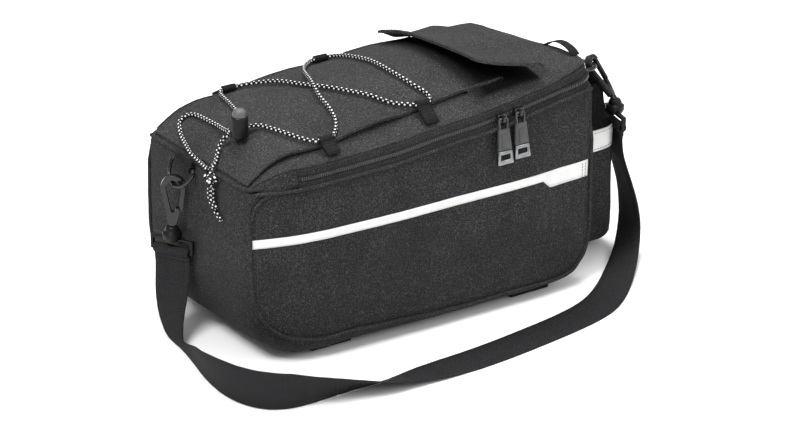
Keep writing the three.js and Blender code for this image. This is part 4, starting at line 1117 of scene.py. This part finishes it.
@dataclass
class Lacing:
    """Elastic lacing with its webbing loops, cord lock, knot and tails."""

    finishes: Finishes
    radius: float = 1.8
    knot: Point = (-200.0, -37.0, 170.0)
    knot_size: Point = (2.6, 2.0, 1.8)
    knot_radius: float = 2.2
    lock: Span = (-163.0, -29.0)
    lock_clear: Fade = Fade(1.0, x=(8, 14))
    knot_clear: Fade = Fade(1.0, x=(-186, 12))
    lacing: tuple[Point, ...] = (
        (-154.4, -25.2, 207), (-150.5, -23.2, 207), (-140, -26, 207.2), (-131, -48, 206.2),
        (-122, -70, 204.2), (-116.5, -78.5, 203.6), (-111.3, -82.6, 203.7), (-104, -82.9, 203.7),
        (-96.7, -82.6, 203.7), (-91.5, -78.5, 204.9), (-85.5, -72, 206.8), (-78, -60.5, 210.3),
        (-72, -42, 214.9), (-66.5, -18, 219.5), (-58, 9, 222.9), (-50, 31, 221.1), (-42, 48, 218.1),
        (-31, 64, 214.7), (-18, 75, 213.4), (-9.3, 78.5, 213.3), (-2, 78.6, 213.3),
        (5.3, 78.4, 213.4), (9.5, 73, 215.1), (11, 60, 218.9), (12, 43, 222.7), (13.5, 14.4, 226.5),
        (13, -21, 226.3), (16, -51, 221.7), (20, -66, 217.9), (19, -75.5, 215.3),
        (14.3, -80, 213.7), (7, -80.2, 213.5), (-0.3, -80, 213.5), (-6, -76, 214),
        (-16, -66, 214.7), (-31, -42, 219.2), (-46.5, -12.2, 220.5), (-57.7, 9.2, 218.9),
        (-72, 45, 214.3), (-84, 66, 208.9), (-93, 75.5, 206.1), (-100.7, 79, 204.5),
        (-108, 79.1, 204.5), (-115.3, 79, 204.5), (-122.5, 69, 204.7), (-130, 44, 206.5),
        (-136, 22, 207.6), (-144, 2, 207.4), (-151.5, -13.5, 207.1), (-154.9, -18, 207),
        (-157.5, -21.1, 207),
    )
    near_loop: tuple[Point, ...] = (
        (-171.6, -24.1, 204.5), (-174.4, -22.4, 202), (-176.5, -18.5, 195.5), (-181, -19.8, 188.4),
        (-187.5, -26.5, 183), (-193.5, -32, 181.4), (-198.6, -35.5, 180),
    )
    far_loop: tuple[Point, ...] = (
        (-165.3, -20.2, 204.5), (-166.4, -15.8, 203.8), (-164.5, -5, 201.6), (-162, 10, 200.2),
        (-161.6, 30, 199), (-161.6, 48, 197.6), (-164.5, 60.5, 194.6), (-173, 61, 190.4),
        (-180.5, 49, 185.9), (-185.6, 34.4, 182.4), (-190, 20, 180.4), (-193.2, 9, 178.9),
        (-194.4, -3, 177.8), (-195.8, -14, 177.2), (-197.6, -24, 177), (-199.3, -31.2, 175.8),
    )
    tail_long: tuple[Point, ...] = (
        (-200, -34.5, 162.2), (-199, -31.5, 156), (-198, -31.5, 148), (-197, -36, 141),
        (-196.3, -42, 135), (-196.3, -48, 131.5),
    )
    tail_short: tuple[Point, ...] = (
        (-200, -40, 162.3), (-199, -38, 155), (-198, -37, 147.5), (-197.2, -41, 141.5),
    )

    def build(self) -> None:
        """Builds the cords first, then what holds them."""
        f = self.finishes
        knot = self._knot()
        short = self._strand("tail_short", self.tail_short, "cord_tail_short")
        long = self._strand("tail_long", self.tail_long, "cord_tail_long")
        lacing = self._strand("lacing", self.lacing, "lacing_cord")
        self._declare(self.lacing)
        near = self._strand("pull_loop_near", self.near_loop, "loop_cord_near")
        self._declare(self.near_loop)
        far = self._strand("pull_loop_far", self.far_loop, "loop_cord_far")
        self._declare(self.far_loop)
        self._declare(self.tail_long)
        for side in SIDES:
            for end in ENDS:
                node, name = f"lacing_loop_{side}_{end}", f"cord_loop_{side}_{end}"
                soft_piece(node, name, f.webbing, Slot.WEBBING, swell=0.1)
        hard_piece("lock_barrel", "cord_lock", f.plastic, Slot.PLASTIC, 1.1)
        hard_piece("lock_button", "lock_cap", f.button, Slot.BUTTON, 0.8, body="button", angle=20)

    def _strand(self, name: str, route: Sequence[Point], node: str) -> Piece:
        """Builds one stretch of cord in place of its CAD node."""
        piece = tube(name, self._line(route), self.radius)
        return dress(piece, self.finishes.cord, Slot.CORD, stands_for=[node])

    def _line(self, route: Sequence[Point]) -> list[Vector]:
        """Gives a route's curve, shifted with the cloth under it except near the lock and the knot."""
        line = []
        for place in spline(route):
            x, y, _ = place / MM
            loose = self.lock_clear.at((math.dist((x, y), self.lock),)) * self.knot_clear.at((x,))
            line.append(place + SLACK.at(place) * loose)
        return line

    def _declare(
        self, route: Sequence[Point]
    ) -> None:
        """Works out a stretch of cord's curve, which goes no further."""
        line = self._line(route)

    def _knot(self) -> Piece:
        """Builds the knot as one closed strand that winds through itself."""
        size, line = Vector(self.knot_size), []
        for k in range(121):
            t = 2 * math.pi * k / 120
            wound = Vector(
                (-math.sin(3 * t), math.sin(t) + 2 * math.sin(2 * t), math.cos(t) - 2 * math.cos(2 * t))
            )
            line.append((Vector(self.knot) + wound * size) * MM)
        piece = tube("cord_wrap", line, self.knot_radius, closed=True)
        return dress(piece, self.finishes.cord, Slot.CORD, stands_for=["cord_knot"])


@dataclass
class EndPocket:
    """Pocket on the tall end, with a reflective band and a gathered mesh collar."""

    finishes: Finishes
    centre: float = 225.0
    rows: tuple[float, ...] = (99.5, 104.5, 121.5)
    band_foot: float = 102.0
    half_turn: float = 118.0
    belly: Fade = Fade(5.0, x=(212, 50))
    droop: Fade = Fade(-6.0, z=(50, 45))
    droop_end: Fade = Fade(1.0, z=(172, -40))
    puckers: int = 34
    pucker: Fade = Fade(0.9, z=(134, 30))

    def build(self) -> None:
        """Builds the pocket's three parts and its sewn rows."""
        f = self.finishes
        parts = (
            ("body", f.heather, Slot.HEATHER, self._fill_out),
            ("band", f.tape_light, Slot.REFLECTIVE, self._fill_out),
            ("collar", f.mesh, Slot.BINDING, self._gather),
        )
        body, band, _ = [
            surface_of(soft_piece(f"pocket_{part}", f"end_pocket_{part}", finish, slot, shape=shape))
            for part, finish, slot, shape in parts
        ]
        sewing = Sewing("pocket_stitches", 2.2, 1.6)
        for z in self.rows:
            ring = []
            for k in range(60):
                a = math.radians(self.half_turn * (2 * k / 59 - 1))
                way = (math.cos(a), math.sin(a), 0)
                start = (self.centre + 120 * way[0], 120 * way[1], z)
                ring.append(laid(body if z < self.band_foot else band, start, (-way[0], -way[1], 0), 0.2))
            sewing.row(ring)
        sewing.finished(f.thread, Slot.BINDING)

    def _fill_out(self, piece: Piece) -> None:
        """Bellies the pocket's outer face a little and lets its band settle."""
        reshape(piece, lambda p: (self.belly.at(p), 0, self.droop.at(p) * self.droop_end.at(p)))

    def _gather(self, collar: Piece) -> None:
        """Puckers the collar towards its elastic rim, once it has settled."""
        self._fill_out(collar)

        def shift(place: Vector) -> Point:
            a = math.atan2(place.y, place.x - self.centre)
            pucker = math.sin(a * self.puckers) * self.pucker.at(place)
            return (math.cos(a) * pucker, math.sin(a) * pucker, 0)

        reshape(collar, shift)


@dataclass
class Fittings:
    """Webbing tabs, D rings, snap hooks with their gates, and the strap's frames, at both ends."""

    finishes: Finishes
    studs: tuple[tuple[Point, ...], ...] = (
        ((-208.3, 19, 109), (-208.6, 20.4, 104)), ((270.5, -35.4, 153), (274.6, -36.6, 146.5))
    )
    stud_radius: float = 3.2

    def build(self) -> None:
        """Builds the fittings of both ends."""
        f = self.finishes
        steel = (f.gun_metal, Slot.GUN_METAL)
        for end, stud in zip(ENDS, self.studs):
            soft_piece(f"ring_tab_{end}", f"ring_web_{end}", f.webbing, Slot.WEBBING, slack=False)
            soft_piece(f"d_ring_{end}", f"ring_wire_{end}", *steel, crease=80, slack=False, swell=0.2)
            hard_piece(f"snap_hook_{end}", f"hook_{end}", *steel, 1.5)
            hard_piece(f"snap_gate_{end}", f"hook_gate_{end}", *steel, 0.7, body=f"gate_{end}")
            hard_piece(f"strap_frame_{end}", f"bar_frame_{end}", f.plastic, Slot.PLASTIC, 0.8)
            dress(tube(f"swivel_stud_{end}", spline(stud, 1), self.stud_radius), *steel)


@dataclass
class ShoulderStrap:
    """Webbing strap, hooked on at both ends and laid on the surface beside the bag.

    Each row gives a place of one edge in millimetres, and the turn and tilt in degrees of the
    way across the strap.
    """

    finishes: Finishes
    width: float = 38.0
    wall: float = 1.8
    folded_end: float = 25.0
    sewn_end: float = 0.03
    patch: Span = (0.33, 0.36)
    step: float = 4.0
    rows: tuple[tuple[float, float, float, float, float], ...] = (
        (-217.3, 37.2, 77, -62, 0), (-217.5, 37.5, 56, -62, 0), (-217.5, 38.5, 34, -70, 0),
        (-216, 36, 12, -84, 3), (-216, 22, -5.6, -97, 12), (-219, -8, -7, -105, 27),
        (-225, -38, -7, -114, 44), (-232, -66, -7, -122, 58), (-237, -92, -7, -124, 70),
        (-239, -122, -7, -124, 82), (-234, -148, -7, -124, 88), (-221, -167, -7, -124, 88),
        (-202, -176, -7, -124, 80), (-174, -177, -7, -124, 60), (-133, -175, -7, -124, 38),
        (-98, -176, -7, -124, 22), (-70, -171, -7, -116, 9), (-42, -168.5, -7, -104, 2),
        (-10, -167, -7, -93, 0), (25, -164, -7, -86, 0), (69, -158, -7, -82, 0),
        (112, -151, -7, -76, 0), (147, -142, -7, -72, 0), (171, -131, -7, -74, 0),
        (197, -113, -7, -77, 0), (222, -92, -7, -79, 3), (247, -70, -6, -83, 8),
        (268, -51, -2, -88, 10), (281, -39, 9, -92, 9), (287, -33, 22, -95, 6),
        (289, -29, 38, -98, 3), (289, -25, 55, -101, 0), (286, -20, 75, -103, 0),
        (281.5, -18.5, 92, -104, 0), (279.4, -18.2, 106, -104, 0), (279, -18.2, 114.5, -104, 0),
    )

    def build(self) -> None:
        """Builds the strap with its woven lengthways pattern, sewn edges and sewn ends."""
        f = self.finishes
        self._samples()
        piece = soft_piece(
            "shoulder_strap", "strap", f.strap, Slot.WEBBING, slack=False, shape=self._pattern
        )
        length = self.lengths[-1]
        sewing = Sewing("strap_stitches", 2.4, 1.4)
        for start, stop in ((0.0, self.sewn_end), self.patch, (length - self.sewn_end, length)):
            inside = [k for k, s in enumerate(self.lengths) if start <= s <= stop]
            for share in (0.1, 0.9):
                for face in (-1, 1):
                    sewing.row(self._on(k, share, face) for k in inside)
            for k in (inside[0], inside[-1]):
                for face in (-1, 1):
                    sewing.row(self._on(k, s / 20, face) for s in range(2, 19))
        sewing.finished(f.thread, Slot.WEBBING)

    def _samples(self) -> None:
        """Works out the strap's edge line, its width's direction and its length at each place."""
        places = [Vector(row[:3]) for row in self.rows]
        self.edge = spline(places, self.step)
        ways = []
        for *_, turn, tilt in self.rows:
            a, e = math.radians(turn), math.radians(tilt)
            ways.append(Vector((math.cos(e) * math.cos(a), math.cos(e) * math.sin(a), math.sin(e))))
        self.across = []
        for place, following, way, next_way in zip(places, places[1:], ways, ways[1:]):
            count = max(1, round((following - place).length / self.step))
            self.across += [way.lerp(next_way, k / count).normalized() for k in range(count)]
        self.across.append(ways[-1])
        self.middle = [p + w * self.width / 2 * MM for p, w in zip(self.edge, self.across)]
        self.lengths = lengths_along(self.middle)

    @staticmethod
    def _way(line: Sequence[Vector], k: int) -> Vector:
        """Gives the way along a line at one of its places."""
        return line[min(k + 1, len(line) - 1)] - line[max(k - 1, 0)]

    def _on(self, k: int, share: float, face: int) -> Vector:
        """Gives a place on one face of the strap."""
        out = self._way(self.edge, k).cross(self.across[k]).normalized()
        place = self.edge[k] + self.across[k] * self.width * share * MM
        return place + out * face * (self.wall / 2 + 0.15) * MM

    def _pattern(self, piece: Piece) -> None:
        """Writes the strap's own UV: across it on U and along it on V, in metres."""
        mesh = piece.data
        places = []
        for vertex in mesh.vertices:
            k = min(range(len(self.middle)), key=lambda i: (self.middle[i] - vertex.co).length_squared)
            way = self._way(self.middle, k).normalized()
            off = vertex.co - self.middle[k]
            places.append((off.dot(self.across[k]), self.lengths[k] + off.dot(way)))
        layer = mesh.uv_layers.get("UVMap") or mesh.uv_layers.new(name="UVMap")
        for loop in mesh.loops:
            layer.data[loop.index].uv = places[loop.vertex_index]


@dataclass
class Studio:
    """Camera at the photograph's angle, pale floor and soft light, in metres."""

    target: Vector = field(default_factory=lambda: Vector((0, 0.0065, 0.092)))
    back: Vector = field(default_factory=lambda: Vector((-0.5205, -0.7633, 0.3827)))
    reach: float = 3.1766
    lens: float = 150.0
    shift: Span = (0.0367, -0.0314)
    floor: float = -0.008
    floor_half: float = 6.0
    horizon: float = 0.3
    zenith: float = 0.85
    lamps: tuple[tuple[str, Point, float, float], ...] = (
        ("key", (-1.5, -0.7, 2.1), 0.9, 62), ("fill", (1.2, -2.2, 1.3), 1.4, 30),
        ("top", (0.5, 0.6, 2.4), 1.0, 52),
    )

    def build(self) -> None:
        """Builds the camera, the floor and the lights."""
        self._camera()
        self._floor()
        world = bpy.data.worlds.new("studio")
        bpy.context.scene.world = world
        world.use_nodes = True
        self._sky(world.node_tree)
        for name, place, size, power in self.lamps:
            light = bpy.data.lights.new(name, "AREA")
            light.shape, light.size, light.energy = "SQUARE", size, power
            self._placed(light, Vector(place), self.target - Vector(place))
        bpy.context.scene.view_settings.view_transform = "Standard"

    def _sky(self, tree: bpy.types.NodeTree) -> None:
        """Gives the surroundings a tone that brightens overhead."""
        place, split = tree.nodes.new("ShaderNodeTexCoord"), tree.nodes.new("ShaderNodeSeparateXYZ")
        ramp = tree.nodes.new("ShaderNodeValToRGB")
        for element, tone in zip(ramp.color_ramp.elements, (self.horizon, self.zenith)):
            element.color = (*grey(tone), 1)
        tree.links.new(place.outputs["Generated"], split.inputs[0])
        tree.links.new(split.outputs["Z"], ramp.inputs["Fac"])
        tree.links.new(ramp.outputs["Color"], tree.nodes["Background"].inputs["Color"])

    def _camera(self) -> None:
        """Adds the camera."""
        camera = bpy.data.cameras.new("view")
        camera.lens, camera.sensor_width, camera.clip_end = self.lens, 36, 50
        camera.shift_x, camera.shift_y = self.shift
        place = self.target + self.back * self.reach
        bpy.context.scene.camera = self._placed(camera, place, -self.back)

    def _floor(self) -> None:
        """Adds the floor."""
        bm = bmesh.new()
        height = Matrix.Translation((0, 0, self.floor))
        bmesh.ops.create_grid(bm, x_segments=1, y_segments=1, size=self.floor_half, matrix=height)
        floor = new_piece("floor", bm)
        bench = NodeBench("pale_floor")
        bench.surface((0.9, 0.9, 0.9, 1), 0.9)
        floor.data.materials.append(bench.material)

    @staticmethod
    def _placed(data: bpy.types.ID, place: Vector, way: Vector) -> bpy.types.Object:
        """Adds a camera or lamp at a place, looking along a way."""
        holder = bpy.data.objects.new(data.name, data)
        bpy.context.scene.collection.objects.link(holder)
        holder.location = place
        holder.rotation_mode = "QUATERNION"
        holder.rotation_quaternion = way.to_track_quat("-Z", "Y")
        return holder


def main() -> None:
    """Builds the camera and cords first, then the rest of the bag."""
    logging.basicConfig(level=logging.INFO, format="%(message)s")
    noise.seed_set(NOISE_SEED)
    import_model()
    Studio().build()
    finishes = Finishes()
    for part in (Lacing, BagBody, Lid, ZipPulls, EndPocket, Fittings, ShoulderStrap):
        part(finishes).build()


if __name__ == "__main__":
    main()
